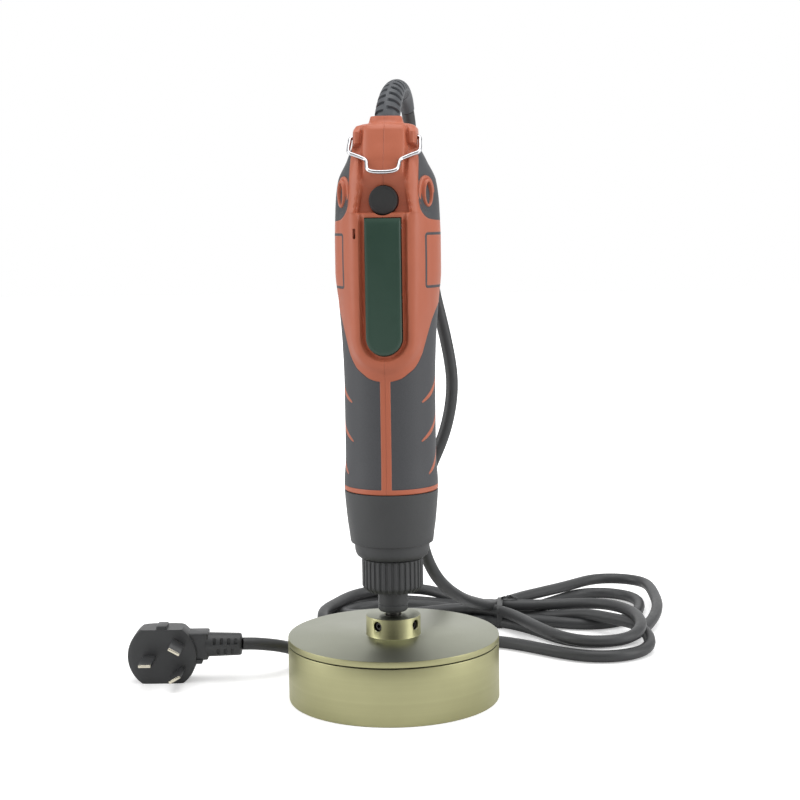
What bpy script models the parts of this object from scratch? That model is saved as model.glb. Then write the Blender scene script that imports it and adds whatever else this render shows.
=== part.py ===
"""Handheld electric capping machine, standing on its capping head.

Frame: origin at the centre of the head's bottom rim, +Z up along the spindle,
the start lever faces -Y. Sizes below are in millimetres; objects are in metres.
"""

from math import cos, pi, radians, sin, sqrt, tan

import bmesh
import bpy
from mathutils import Vector
from mathutils.geometry import interpolate_bezier

mm = 0.001
gap = 0.3                      # running and seating gap between two solids
fullTurn = 2 * pi

# ---- capping head
headRadius = 50.0
cupHeight = 26.8
cupWall = 4.3
flangeWidth = 12.7             # inward flange that the plate screws pass through
flangeThickness = 3.7
spigotDepth = 3.1              # plate spigot sunk into the cup's mouth
plateThickness = 3.1
hubRadius = 12.9
hubHeight = 9.5
linerWall = 4.0
linerTaper = 2.0
linerLift = 1.0                # liner stays this far above the rim
padDrop = 5.5
plateScrewCount = 3
plateScrewRadius = 1.9
plateScrewTurn = radians(97)
screwHeadHeight = 2.5
setScrewCount = 4
setScrewRadius = 1.9
setScrewDrop = 3.7             # below the hub's top face
setScrewTurn = radians(-120)   # first set screw, 30 degrees left of the front
setScrewSunk = 1.2
bitFloor = 2.0                 # plate metal under the bit's end

# ---- bit, spindle and torque ring
bitRadius = 3.5
bitHexRadius = 3.66
bitShowing = 1.9               # between the hub and the sleeve
bitGrip = 37.1                 # bit length inside hub and spindle together
sleeveRadius = 7.05
sleeveWall = 1.35
sleeveLength = 12.4
sleeveShowing = 9.9            # sleeve length below the torque ring
ringRadius = 14.45
ringLength = 13.5
ringFloor = 2.6
socketRadius = 5.4
socketLength = 29.0
spindleRadius = 4.0
seatThickness = 2.0

# ---- nose and gear stage
neckRadius = 12.0
neckWall = 2.4
noseLength = 32.3
noseSpigot = 4.0               # nose's spigot inside the casing
gearFloor = 1.3                # space under the planet carrier
bearingWidth = 6.9
bearingRadius = 11.0
gearModule = 0.6
sunTeeth = 12
planetTeeth = 18
gearBacklash = 0.26
gearWidth = 8.0
ringGearRim = 1.95             # metal behind the ring gear's roots
carrierRim = 4.6               # carrier disc beyond the planets' pins
carrierThickness = 3.3
planetPinRadius = 1.5
planetCount = 3
pinionEnd = 3.0                # from the gears' faces to the gearbox plate
gearboxPlateHeight = 4.0
gearboxPlateLip = 0.8

# ---- motor
shaftRadius = 2.5
smallBearingRadius = 6.5
smallBearingWidth = 4.0
fanTip = 2.5                   # from the fan's tips to the casing
fanHeight = 6.0
statorLength = 36.0
statorBore = 11.4
airGap = 0.6
fanLift = 8.0                  # gearbox plate to fan
statorLift = 3.0               # fan to stator
windingRoom = 6.0              # stator to commutator, and commutator to bearing
shaftEnd = 3.0
commutatorRadius = 7.0
commutatorLength = 10.0
brushSize = 5.0
brushLength = 6.0

# ---- casing
casingLength = 171.3           # band to the top of the cord collar
motorBore = 19.0
casingWall = 3.0
rearBore = 18.0
capBore = 15.5
cableBore = 12.0
cableRoomDrop = 28.3           # below the casing's top, as are the drops that follow
flangeRoomDrop = 12.3
collarRadius = 8.0
leverWidth = 16.3
leverLength = 62.0
leverThickness = 4.0
leverDrop = 45.3               # from the casing's top down to the lever's top
leverFront = -24.6
leverTravel = 2.6              # from the lever's back to the switch behind it
leverPinRadius = 1.2
leverPinDrop = 4.0             # from the lever's top to its pin
leverPinBack = 6.4             # from the lever's front to its pin
switchDrop = 63.3
switchHeight = 16.0
switchDepth = 8.2
buttonRadius = 6.55
buttonHeight = 3.9
buttonDrop = 37.3
buttonFront = -19.0
buttonTravel = 2.0
inletHalfWidth = 6.3
inletHalfHeight = 8.0
inletDepth = 6.6
inletProud = 23.6
inletTurn = radians(60)
inletDrop = 34.3
casingScrewRadius = 1.25
casingScrewHead = 2.4
screwSeat = 11.8               # under the head, right of the middle
screwReach = 8.7               # thread's end, left of the middle
bossRadius = 3.4
lowerScrewBack = 12.5
upperScrew = (11.0, 49.3)      # how far back, and how far below the top
bailWire = 0.9
bailHalfWidth = 16.8
bailBack = -5.0
bailDrop = 8.7
bailLength = 23.6

# ---- cord and plug
cordRadius = 3.1
reliefRadius = 6.2
reliefTip = 4.4
reliefArch = 25.0
reliefSweep = radians(137)
reliefStart = radians(5)
reliefDrop = 10.3
reliefLean = radians(8)        # arch's plane, turned from straight back to the right
clampDrop = 14.3
terminalDrop = 23.3
plugRadius = 17.0
plugFlat = 13.5                # half the height between the plug's two flats
plugThickness = 14.0
plugPlace = (-116.6, 19.9)
plugTurn = radians(5.5)
plugNeck = (14.0, 22.4)        # reach of the neck and of the relief beyond it
plugReliefEnd = 38.8
plugReliefLift = 4.2
bladeSize = (6.35, 1.6, 17.0)
bladeCentre = 4.3
liveBladeRadius = 7.92
earthBladeRadius = 10.3
hankHeight = 12.0

# ---- heights worked out from the sizes above
plateBottom = cupHeight + gap
plateTop = plateBottom + plateThickness
hubTop = plateTop + hubHeight
sleeveBottom = hubTop + bitShowing
ringBottom = sleeveBottom + sleeveShowing
ringTop = ringBottom + ringLength
noseBottom = ringTop + 2.6
noseTop = noseBottom + noseLength
neckBottom = ringBottom + ringFloor + gap
socketBottom = sleeveBottom + 1.4
frontBearingBottom = noseBottom + 8.7
shoulderBottom = frontBearingBottom - gap - 1.5
carrierBottom = frontBearingBottom + bearingWidth + 1.8
carrierTop = carrierBottom + carrierThickness
gearBottom = carrierTop + gap
plateSeat = gearBottom + gearWidth + pinionEnd
casingBottom = noseTop + gap
casingTop = casingBottom + casingLength
seatBottom = ringBottom + 6.5
planetCircle = gearModule * (sunTeeth + planetTeeth) / 2
ringTeeth = sunTeeth + 2 * planetTeeth
ringGearRadius = gearModule * (ringTeeth / 2 + 1.2) + ringGearRim
carrierRadius = planetCircle + carrierRim
fanRadius = motorBore - fanTip
armatureRadius = statorBore - airGap
flangeBottom = cupHeight - spigotDepth - flangeThickness
cupBore = headRadius - cupWall
flangeBore = cupBore - flangeWidth


def down(depth):
    return casingTop - depth


# ---------------------------------------------------------------- helpers
def material(name, colour, roughness, metallic=0.0):
    found = bpy.data.materials.get(name)
    if found:
        return found
    made = bpy.data.materials.new(name)
    made.use_nodes = True
    shader = made.node_tree.nodes["Principled BSDF"]
    shader.inputs["Base Color"].default_value = (*colour, 1)
    shader.inputs["Roughness"].default_value = roughness
    shader.inputs["Metallic"].default_value = metallic
    return made


orange = ("orange_shell", (0.62, 0.18, 0.07), 0.45)
blackPlastic = ("black_plastic", (0.05, 0.05, 0.055), 0.5)
greenPlastic = ("green_plastic", (0.02, 0.12, 0.07), 0.4)
blackRubber = ("black_rubber", (0.05, 0.05, 0.055), 0.75)
clearRubber = ("liner_rubber", (0.72, 0.70, 0.62), 0.7)
champagne = ("champagne_aluminium", (0.50, 0.50, 0.36), 0.3, 1.0)
steel = ("steel", (0.45, 0.45, 0.46), 0.3, 1.0)
darkSteel = ("dark_steel", (0.10, 0.10, 0.11), 0.35, 1.0)
springSteel = ("spring_steel", (0.6, 0.62, 0.66), 0.2, 1.0)
copper = ("copper", (0.65, 0.32, 0.18), 0.35, 1.0)
carbon = ("carbon", (0.03, 0.03, 0.03), 0.8)
brass = ("plug_brass", (0.72, 0.70, 0.60), 0.3, 1.0)


def newObject(name, mesh, look, place=(0, 0, 0)):
    obj = bpy.data.objects.new(name, mesh)
    bpy.context.scene.collection.objects.link(obj)
    mesh.materials.clear()
    mesh.materials.append(material(*look))
    obj.location = Vector(place) * mm
    return obj


def meshFrom(name, bm, smoothAngle=35):
    bmesh.ops.recalc_face_normals(bm, faces=bm.faces)
    mesh = bpy.data.meshes.new(name)
    bm.to_mesh(mesh)
    bm.free()
    mesh.shade_smooth()
    mesh.set_sharp_from_angle(angle=radians(smoothAngle))
    return mesh


def turned(name, profile, look, place=(0, 0, 0), steps=24, along="Z"):
    """A closed outline of (radius, height) points spun about an axis through place."""
    bm = bmesh.new()
    points = []
    edges = []
    for radius, height in profile:
        spot = {"X": (height, radius, 0), "Y": (radius, height, 0), "Z": (radius, 0, height)}[along]
        points.append(bm.verts.new(Vector(spot) * mm))
    for i in range(len(points)):
        if profile[i - 1][0] or profile[i][0]:      # a span along the axis sweeps nothing
            edges.append(bm.edges.new((points[i - 1], points[i])))
    axis = {"X": (1, 0, 0), "Y": (0, 1, 0), "Z": (0, 0, 1)}[along]
    bmesh.ops.spin(bm, geom=points + edges, cent=(0, 0, 0), axis=axis, angle=fullTurn,
                   steps=steps, use_merge=True, use_duplicate=False)
    bmesh.ops.remove_doubles(bm, verts=bm.verts, dist=1e-6)
    bmesh.ops.dissolve_degenerate(bm, edges=bm.edges, dist=1e-6)
    return newObject(name, meshFrom(name, bm), look, place)


def tube(name, inner, outer, bottom, top, look, place=(0, 0, 0), steps=24, along="Z"):
    profile = [(outer, top), (outer, bottom), (inner, bottom), (inner, top)]
    return turned(name, profile, look, place, steps, along)


def rod(name, radius, bottom, top, look, place=(0, 0, 0), steps=12, along="Z"):
    profile = [(0, top), (radius, top), (radius, bottom), (0, bottom)]
    return turned(name, profile, look, place, steps, along)


def block(name, low, high, look, place=(0, 0, 0)):
    bm = bmesh.new()
    bmesh.ops.create_cube(bm, size=1.0)
    low, high = Vector(low) * mm, Vector(high) * mm
    for vert in bm.verts:
        for axis in range(3):
            side = vert.co[axis] + 0.5
            vert.co[axis] = low[axis] + side * (high[axis] - low[axis])
    return newObject(name, meshFrom(name, bm), look, place)


def prism(name, outline, bottom, top, look, place=(0, 0, 0), hole=None):
    """An outline of (x, y) points raised from bottom to top, with an optional inner outline."""
    bm = bmesh.new()
    loops = []
    for ring in [outline] + ([hole] if hole else []):
        rows = [[bm.verts.new(Vector((x, y, height)) * mm) for x, y in ring] for height in (bottom, top)]
        for i in range(len(ring)):
            bm.faces.new((rows[0][i - 1], rows[0][i], rows[1][i], rows[1][i - 1]))
        loops.append(rows)
    for level in (0, 1):
        edges = []
        for rows in loops:
            ring = rows[level]
            edges += [bm.edges.get((ring[i - 1], ring[i])) for i in range(len(ring))]
        bmesh.ops.triangle_fill(bm, edges=edges, use_beauty=True)
    return newObject(name, meshFrom(name, bm), look, place)


def circle(radius, count, centre=(0, 0)):
    turns = [fullTurn * i / count for i in range(count)]
    return [(centre[0] + radius * cos(t), centre[1] + radius * sin(t)) for t in turns]


def cutBy(obj, cutter, operation="DIFFERENCE"):
    cutter.hide_render = True
    cutter.display_type = "WIRE"
    step = obj.modifiers.new(cutter.name, "BOOLEAN")
    step.operation = operation
    step.object = cutter


def loft(name, rings, look, place=(0, 0, 0)):
    """Closed skin over rings of equal point counts, capped at both ends."""
    bm = bmesh.new()
    rows = [[bm.verts.new(Vector(spot) * mm) for spot in ring] for ring in rings]
    for low, high in zip(rows, rows[1:]):
        for i in range(len(low)):
            bm.faces.new((low[i - 1], low[i], high[i], high[i - 1]))
    bm.faces.new(rows[0])
    bm.faces.new(rows[-1])
    return newObject(name, meshFrom(name, bm), look, place)


def smoothRoute(points, perSpan):
    """Points along a smooth curve through the given route points."""
    spots = [Vector(p) for p in points]
    slopes = []
    for i, spot in enumerate(spots):
        before = spots[max(i - 1, 0)]
        after = spots[min(i + 1, len(spots) - 1)]
        slopes.append((after - before).normalized())
    route = []
    for i in range(len(spots) - 1):
        reach = (spots[i + 1] - spots[i]).length / 3
        handles = spots[i], spots[i] + slopes[i] * reach, spots[i + 1] - slopes[i + 1] * reach, spots[i + 1]
        route += interpolate_bezier(*handles, perSpan + 1)[:-1]
    return route + [spots[-1]]


def cable(name, points, radius, look, resolution=2, perSpan=3):
    curve = bpy.data.curves.new(name, "CURVE")
    curve.dimensions = "3D"
    spots = smoothRoute(points, perSpan)
    spline = curve.splines.new("POLY")
    spline.points.add(len(spots) - 1)
    for point, spot in zip(spline.points, spots):
        point.co = (*(spot * mm), 1)
    curve.bevel_depth = radius * mm
    curve.bevel_resolution = resolution
    curve.use_fill_caps = True
    curve.materials.append(material(*look))
    obj = bpy.data.objects.new(name, curve)
    bpy.context.scene.collection.objects.link(obj)
    return obj


# ---------------------------------------------------------------- capping head
def makeHead():
    cup = turned("head_cup", [(headRadius, cupHeight), (headRadius, 0), (cupBore, 0),
                              (cupBore, flangeBottom), (flangeBore, flangeBottom),
                              (flangeBore, cupHeight - spigotDepth), (cupBore, cupHeight - spigotDepth),
                              (cupBore, cupHeight)], champagne, steps=40)
    spigotRadius = cupBore - gap
    spigotBottom = plateBottom - spigotDepth
    boreBottom = spigotBottom + bitFloor
    bore = bitRadius + gap
    plate = turned("head_plate", [(bore, hubTop), (hubRadius, hubTop), (hubRadius, plateTop),
                                  (headRadius, plateTop), (headRadius, plateBottom),
                                  (spigotRadius, plateBottom), (spigotRadius, spigotBottom),
                                  (0, spigotBottom), (0, boreBottom), (bore, boreBottom)],
                   champagne, steps=40)
    for i in range(setScrewCount):
        turn = setScrewTurn + fullTurn * i / setScrewCount
        height = hubTop - setScrewDrop
        hole = rod(f"set_hole_{i + 1}", setScrewRadius + gap, 0, hubRadius + 2, steel, (0, 0, height),
                   along="X")
        hole.rotation_euler.z = turn
        cutBy(plate, hole)
        screw = rod(f"hub_set_screw_{i + 1}", setScrewRadius, bitRadius + gap, hubRadius - setScrewSunk,
                    darkSteel, (0, 0, height), 10, "X")
        screw.rotation_euler.z = turn
    screwCircle = (cupBore + flangeBore) / 2
    for i in range(plateScrewCount):
        turn = plateScrewTurn + fullTurn * i / plateScrewCount
        place = (screwCircle * cos(turn), screwCircle * sin(turn), flangeBottom - gap)
        top = plateTop - setScrewSunk - place[2]
        hole = rod(f"plate_hole_{i + 1}", plateScrewRadius + gap, 0, top, steel, place)
        cutBy(cup, hole)
        cutBy(plate, hole)
        headOuter = plateScrewRadius * 1.85
        turned(f"plate_screw_{i + 1}", [(0, top - gap), (plateScrewRadius, top - gap),
                                        (plateScrewRadius, 0), (headOuter, 0),
                                        (headOuter, -screwHeadHeight), (0, -screwHeadHeight)],
               steel, place, 10)
    linerTop = flangeBottom - screwHeadHeight - 2 * gap
    linerOuter = cupBore - gap
    linerInner = linerOuter - linerWall
    turned("head_liner", [(linerOuter, linerTop), (linerOuter, linerLift), (linerInner, linerLift),
                          (linerInner - linerTaper, linerTop)], clearRubber, steps=40)
    padTop = spigotBottom - gap
    rod("lid_pad", flangeBore - gap, padTop - padDrop, padTop, clearRubber, steps=32)


# ---------------------------------------------------------------- bit, spindle, sleeve and torque ring
def makeSpindle():
    bitBottom = plateBottom - spigotDepth + bitFloor + gap
    bit = rod("bit_shaft", bitRadius, bitBottom, socketBottom + 1, darkSteel, steps=20)
    hexBottom = socketBottom + 1 - bitBottom
    hexagon = prism("bit_hexagon", circle(bitHexRadius, 6), hexBottom, bitGrip, darkSteel,
                    (0, 0, bitBottom))
    cutBy(bit, hexagon, "UNION")
    bore = bitHexRadius + gap + 0.1
    boreTop = bitBottom + bitGrip + gap
    socketTop = socketBottom + socketLength
    spindle = turned("spindle", [(0, carrierTop), (carrierRadius, carrierTop),
                                 (carrierRadius, carrierBottom), (spindleRadius, carrierBottom),
                                 (spindleRadius, socketTop), (socketRadius, socketTop),
                                 (socketRadius, socketBottom), (bore, socketBottom),
                                 (bore, boreTop), (0, boreTop)], steel, steps=24)
    for i in range(planetCount):
        turn = fullTurn * i / planetCount
        place = (planetCircle * cos(turn), planetCircle * sin(turn), carrierTop)
        pin = rod(f"planet_pin_{i + 1}", planetPinRadius, -1, gearWidth + 1.2, steel, place)
        cutBy(spindle, pin, "UNION")
    tube("bit_sleeve", sleeveRadius - sleeveWall, sleeveRadius, sleeveBottom, sleeveBottom + sleeveLength,
         blackPlastic, steps=24)


def makeTorqueRing():
    neckGap = neckRadius + gap
    turned("torque_ring", [(ringRadius, ringTop), (ringRadius, ringBottom + 2.5),
                           (ringRadius - 2.0, ringBottom), (sleeveRadius + gap + 0.1, ringBottom),
                           (sleeveRadius + gap + 0.1, ringBottom + ringFloor),
                           (neckGap, ringBottom + ringFloor), (neckGap, ringTop)], blackPlastic, steps=36)
    seatOuter = neckRadius - neckWall - gap
    tube("spring_seat", sleeveRadius + gap, seatOuter, seatBottom, seatBottom + seatThickness, steel,
         steps=20)
    springBottom = seatBottom + seatThickness + gap
    tube("clutch_spring", sleeveRadius + gap + 0.2, seatOuter - gap, springBottom, shoulderBottom - gap,
         springSteel, steps=16)


# ---------------------------------------------------------------- nose and gear stage
def makeNose():
    neckBore = neckRadius - neckWall
    shoulderBore = socketRadius + 1.1
    gearBore = ringGearRadius + gap
    spigot = motorBore - gap
    spigotTop = casingBottom + noseSpigot
    widest = motorBore + casingWall
    outer = [(spigot, spigotTop), (spigot, noseTop), (widest, noseTop), (widest - 0.35, noseTop - 5.6),
             (widest - 0.8, noseTop - 10.4), (widest - 1.3, noseTop - 15.2), (widest - 2.1, noseTop - 20.0),
             (widest - 2.5, noseTop - 24.9), (widest - 4.3, noseTop - 25.7), (widest - 5.2, noseBottom),
             (neckRadius, noseBottom), (neckRadius, neckBottom)]
    inner = [(neckBore, neckBottom), (neckBore, shoulderBottom), (shoulderBore, shoulderBottom),
             (shoulderBore, frontBearingBottom - gap), (bearingRadius + gap, frontBearingBottom - gap),
             (bearingRadius + gap, carrierBottom - gearFloor), (gearBore, carrierBottom - gearFloor),
             (gearBore, spigotTop)]
    turned("nose_cone", outer + inner, blackPlastic, steps=24)
    tube("front_bearing", spindleRadius + gap, bearingRadius, frontBearingBottom,
         frontBearingBottom + bearingWidth, steel, steps=20)


def gearOutline(teeth, turn, inward=False):
    """One tooth centre at angle turn; straight flanks at 20 degrees, thinned by half the backlash."""
    pitchRadius = gearModule * teeth / 2
    side = -1 if inward else 1
    tipRadius = pitchRadius + side * 0.8 * gearModule
    rootRadius = pitchRadius - side * 1.2 * gearModule
    halfPitch = pi * gearModule / 4 - gearBacklash / 2
    lean = tan(radians(20))
    halfTip = (halfPitch - 0.8 * gearModule * lean) / tipRadius
    halfRoot = (halfPitch + 1.2 * gearModule * lean) / rootRadius
    outline = []
    for i in range(teeth):
        centre = turn + fullTurn * i / teeth
        for offset, radius in ((-halfRoot, rootRadius), (-halfTip, tipRadius), (halfTip, tipRadius),
                               (halfRoot, rootRadius)):
            outline.append((radius * cos(centre + offset), radius * sin(centre + offset)))
    return outline


def makeGears():
    ringHeight = plateSeat - gap - gearBottom
    prism("ring_gear", circle(ringGearRadius, 36), 0, ringHeight, steel, (0, 0, gearBottom),
          gearOutline(ringTeeth, 0, inward=True))
    for i in range(planetCount):
        turn = fullTurn * i / planetCount
        place = (planetCircle * cos(turn), planetCircle * sin(turn), gearBottom)
        prism(f"planet_gear_{i + 1}", gearOutline(planetTeeth, pi / planetTeeth), 0, gearWidth, steel,
              place, circle(planetPinRadius + 0.2, 12))
    seat = smallBearingRadius + gap
    lip = shaftRadius + 0.7
    lipTop = plateSeat + gearboxPlateLip
    turned("gearbox_plate", [(ringGearRadius, plateSeat + gearboxPlateHeight), (ringGearRadius, plateSeat),
                             (lip, plateSeat), (lip, lipTop), (seat, lipTop),
                             (seat, plateSeat + gearboxPlateHeight)], steel, steps=28)
    tube("mid_bearing", shaftRadius + gap, smallBearingRadius, lipTop + gap,
         lipTop + gap + smallBearingWidth, steel, steps=16)


# ---------------------------------------------------------------- motor
fanBottom = plateSeat + fanLift
statorBottom = fanBottom + fanHeight + statorLift
statorTop = statorBottom + statorLength
commutatorBottom = statorTop + windingRoom
rearBearingBottom = commutatorBottom + commutatorLength + windingRoom
shaftTop = rearBearingBottom + smallBearingWidth + shaftEnd
screwPlaces = ((lowerScrewBack, statorTop + gap + bossRadius),
               (lowerScrewBack, shaftTop + bossRadius + 1.8), (upperScrew[0], down(upperScrew[1])))


def slotted(count, outer, root, slotShare):
    """A laminated core's outline: wide teeth with narrow slots."""
    outline = []
    half = fullTurn / count / 2
    for i in range(count):
        centre = fullTurn * i / count
        for share, radius in ((-0.4, root), (-slotShare, outer), (slotShare, outer), (0.4, root)):
            turn = centre + 2 * half * share
            outline.append((radius * cos(turn), radius * sin(turn)))
    return outline


def makeMotor():
    shaftBottom = gearBottom + 0.4
    shaft = rod("rotor_shaft", shaftRadius, shaftBottom + gearWidth, shaftTop, steel, steps=16)
    pinion = prism("sun_pinion", gearOutline(sunTeeth, 0), 0, gearWidth + 1, steel, (0, 0, shaftBottom))
    cutBy(shaft, pinion, "UNION")
    hole = circle(shaftRadius + gap, 16)
    fan = prism("cooling_fan", slotted(9, fanRadius, 5.2, 0.12), 0.8, fanHeight, blackPlastic,
                (0, 0, fanBottom), hole)
    disc = tube("fan_disc", shaftRadius + gap, fanRadius, 0, 1.2, blackPlastic, (0, 0, fanBottom), 24)
    cutBy(fan, disc, "UNION")
    prism("armature_core", slotted(12, armatureRadius, 6.5, 0.36), statorBottom + 1, statorTop - 1, copper,
          hole=hole)
    tube("commutator", shaftRadius + gap, commutatorRadius, commutatorBottom,
         commutatorBottom + commutatorLength, copper, steps=24)
    tube("motor_stator", statorBore, motorBore - gap, statorBottom, statorTop, darkSteel, steps=32)
    tube("rear_bearing", shaftRadius + gap, smallBearingRadius, rearBearingBottom,
         rearBearingBottom + smallBearingWidth, steel, steps=16)
    brushMiddle = commutatorBottom + commutatorLength / 2
    start = commutatorRadius + gap
    half = brushSize / 2
    holderHalf = half + gap + 1.4
    holderEnd = sqrt((rearBore - gap) ** 2 - holderHalf ** 2) - 0.1
    for side, word in ((-1, "left"), (1, "right")):
        brush = block(f"brush_{word}", (start, -half, -half), (start + brushLength, half, half), carbon,
                      (0, 0, brushMiddle))
        holder = block(f"brush_holder_{word}", (start + 1.2, -holderHalf, -holderHalf),
                       (holderEnd, holderHalf, holderHalf), brass, (0, 0, brushMiddle))
        slot = block(f"brush_slot_{word}", (start, -half - gap, -half - gap),
                     (start + brushLength + 1, half + gap, half + gap), brass, (0, 0, brushMiddle))
        cutBy(holder, slot)
        for piece in (brush, holder, slot):
            piece.rotation_euler.z = 0 if side > 0 else pi


# ---------------------------------------------------------------- casing
# half width, front and back reach: measured up from the casing's lower end, then down from its top
lowerSections = ((0, 0, 0, 0), (3, 0, -0.1, 0), (16, -0.8, -0.9, -0.8), (48, -0.8, -0.7, -0.6))
upperSections = ((101.3, 21.85, 22.6, 22.2), (83.3, 23.2, 23.8, 23.8), (69.3, 24.5, 24.2, 24.9),
                 (55.3, 24.5, 23.3, 25.0), (45.3, 24.2, 21.6, 24.6), (38.3, 23.9, 18.8, 23.8),
                 (28.3, 22.6, 18.0, 21.8), (18.8, 18.15, 16.2, 18.4), (11.3, 15.0, 13.0, 15.8),
                 (5.3, 14.75, 10.6, 14.8), (2.3, 12.2, 8.2, 13.4), (0, 9.2, 6.0, 12.0))


def casingRings():
    widest = motorBore + casingWall
    rows = [(casingBottom + height, *(widest + reach for reach in reaches))
            for height, *reaches in lowerSections]
    rows += [(down(depth), *reach) for depth, *reach in upperSections]
    return [casingRing(*row) for row in rows]


def casingRing(height, halfWidth, front, back, count=24):
    ring = []
    for i in range(count):
        turn = fullTurn * (i + 0.5) / count
        reach = front if sin(turn) < 0 else back
        ring.append((halfWidth * cos(turn), reach * sin(turn), height))
    return ring


def casingCavity():
    seat = smallBearingRadius + gap
    nearShaft = shaftRadius + 1.5
    ribLow = rearBearingBottom - gap
    ribHigh = ribLow + smallBearingWidth + 2 * gap
    motorEnd = statorTop + gap
    flangeBore = collarRadius + 1.4
    bores = [(casingBottom - 1, motorBore), (motorEnd, motorBore), (motorEnd, rearBore),
             (ribLow - 2, rearBore), (ribLow - 2, nearShaft), (ribLow, nearShaft), (ribLow, seat),
             (ribHigh, seat), (ribHigh, nearShaft), (ribHigh + 2, nearShaft), (ribHigh + 2, rearBore),
             (down(leverDrop), rearBore), (down(leverDrop), capBore), (down(cableRoomDrop), capBore),
             (down(cableRoomDrop), cableBore), (down(flangeRoomDrop), cableBore),
             (down(flangeRoomDrop), flangeBore), (down(bailDrop), flangeBore),
             (down(bailDrop), reliefRadius - 1)]
    profile = [(0, down(bailDrop))] + [(radius, height) for height, radius in reversed(bores)]
    cavity = turned("casing_cavity", profile + [(0, casingBottom - 1)], orange, steps=24)
    for i, (back, height) in enumerate(screwPlaces):
        boss = rod(f"screw_boss_{i + 1}", bossRadius, -motorBore - 1, motorBore + 1, orange,
                   (0, back, height), 12, "X")
        cutBy(cavity, boss)
    return cavity


def makeCasing():
    cavity = casingCavity()
    leverMiddle = down(leverDrop + leverLength) + leverWidth / 2
    half = leverWidth / 2 + gap + 0.1
    openingTop = block("lever_opening", (-half, -30, leverMiddle), (half, -13, down(leverDrop) + gap),
                       orange)
    openingEnd = rod("lever_opening_end", half, -30, -13, orange, (0, 0, leverMiddle), 16, "Y")
    buttonHole = rod("button_hole", buttonRadius + gap, -30, -10, orange, (0, 0, down(buttonDrop)), 20,
                     "Y")
    pinHole = rod("lever_pin_hole", leverPinRadius + gap, -half - 3, half + 3, orange, leverPinPlace, 10,
                  "X")
    bailPlace = (0, bailBack, down(bailDrop))
    bailHole = rod("bail_hole", bailWire + gap, -30, 30, orange, bailPlace, 10, "X")
    bailKeep = rod("bail_keep", 4, -10.5, 10.5, orange, bailPlace, 10, "X")
    cutBy(bailHole, bailKeep)
    cutters = [cavity, openingTop, openingEnd, buttonHole, pinHole, bailHole, reliefWay()]
    for i, (back, height) in enumerate(screwPlaces):
        cutters.append(turned(f"screw_hole_{i + 1}", [
            (0, 30), (casingScrewHead + gap, 30), (casingScrewHead + gap, screwSeat - gap),
            (casingScrewRadius + gap, screwSeat - gap), (casingScrewRadius + gap, -screwReach - gap),
            (0, -screwReach - gap)], orange, (0, back, height), 12, "X"))
    for side, word in ((-1, "left"), (1, "right")):
        shell = loft(f"casing_{word}", casingRings(), orange)
        for cutter in cutters:
            cutBy(shell, cutter)
        pocket = inletOval(f"inlet_pocket_{word}", side, gap, 10, 40)
        cutBy(shell, pocket)
        low, high = (-gap / 2, 60) if side < 0 else (-60, gap / 2)
        other = block(f"other_side_{word}", (low, -60, casingBottom - 5), (high, 60, casingTop + 5), orange)
        cutBy(shell, other)
    for i, (back, height) in enumerate(screwPlaces):
        turned(f"casing_screw_{i + 1}", [(0, screwSeat + 2), (casingScrewHead, screwSeat + 2),
                                         (casingScrewHead, screwSeat), (casingScrewRadius, screwSeat),
                                         (casingScrewRadius, -screwReach), (0, -screwReach)], steel,
               (0, back, height), 10, "X")


def inletOval(name, side, grow, inside, outside):
    """An oval plug pointing out of the shell's flank, inletTurn away from the front."""
    oval = [(a * (inletHalfWidth + grow), b * (inletHalfHeight + grow)) for a, b in circle(1, 20)]
    rings = [[(reach, a, b) for a, b in oval] for reach in (inside, outside)]
    plug = loft(name, rings, orange, (0, 0, down(inletDrop)))
    plug.rotation_euler.z = side * inletTurn - pi / 2
    return plug


def makeInlets():
    for side, word in ((-1, "left"), (1, "right")):
        inlet = inletOval(f"air_inlet_{word}", side, 0, inletProud - inletDepth, inletProud)
        slot = block(f"inlet_slot_{word}", (inletProud - 3, -2.4, -4.2), (inletProud + 2, 2.4, 4.2), orange,
                     (0, 0, down(inletDrop)))
        slot.rotation_euler.z = inlet.rotation_euler.z
        cutBy(inlet, slot)


# ---------------------------------------------------------------- controls
leverPinPlace = (0, leverFront + leverPinBack, down(leverDrop + leverPinDrop))


def makeLever():
    """Face plate with a round lower end and an eye for its pin behind the top."""
    half = leverWidth / 2
    roundMiddle = leverPinDrop - leverLength + half
    outline = [(-half, leverPinDrop), (-half, roundMiddle)]
    for i in range(1, 8):
        turn = pi + pi * i / 8
        outline.append((half * cos(turn), roundMiddle + half * sin(turn)))
    outline += [(half, roundMiddle), (half, leverPinDrop)]
    front, back = leverFront, leverFront + leverThickness
    rings = [[(x, y - leverPinPlace[1], z) for x, z in outline] for y in (back, front)]
    lever = loft("start_lever", rings, greenPlastic, leverPinPlace)
    eye = block("lever_eye", (-half + 1.5, leverThickness - 6.9, -2.6), (half - 1.5, 2.4, 2.6),
                greenPlastic, leverPinPlace)
    bore = rod("lever_eye_bore", leverPinRadius + gap, -half, half, greenPlastic, leverPinPlace, 12, "X")
    cutBy(lever, eye, "UNION")
    cutBy(lever, bore)
    reach = half + gap + 2.4
    rod("lever_pin", leverPinRadius, -reach, reach, steel, leverPinPlace, 10, "X")
    switchHalf = half + 0.1
    switchFront = back + leverTravel
    block("start_switch", (-switchHalf, switchFront, down(switchDrop + switchHeight)),
          (switchHalf, switchFront + switchDepth, down(switchDrop)), blackPlastic)
    rod("lever_spring", 2.2, back + gap, switchFront - gap, springSteel, (0, 0, down(switchDrop + 12)), 10,
        "Y")


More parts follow.
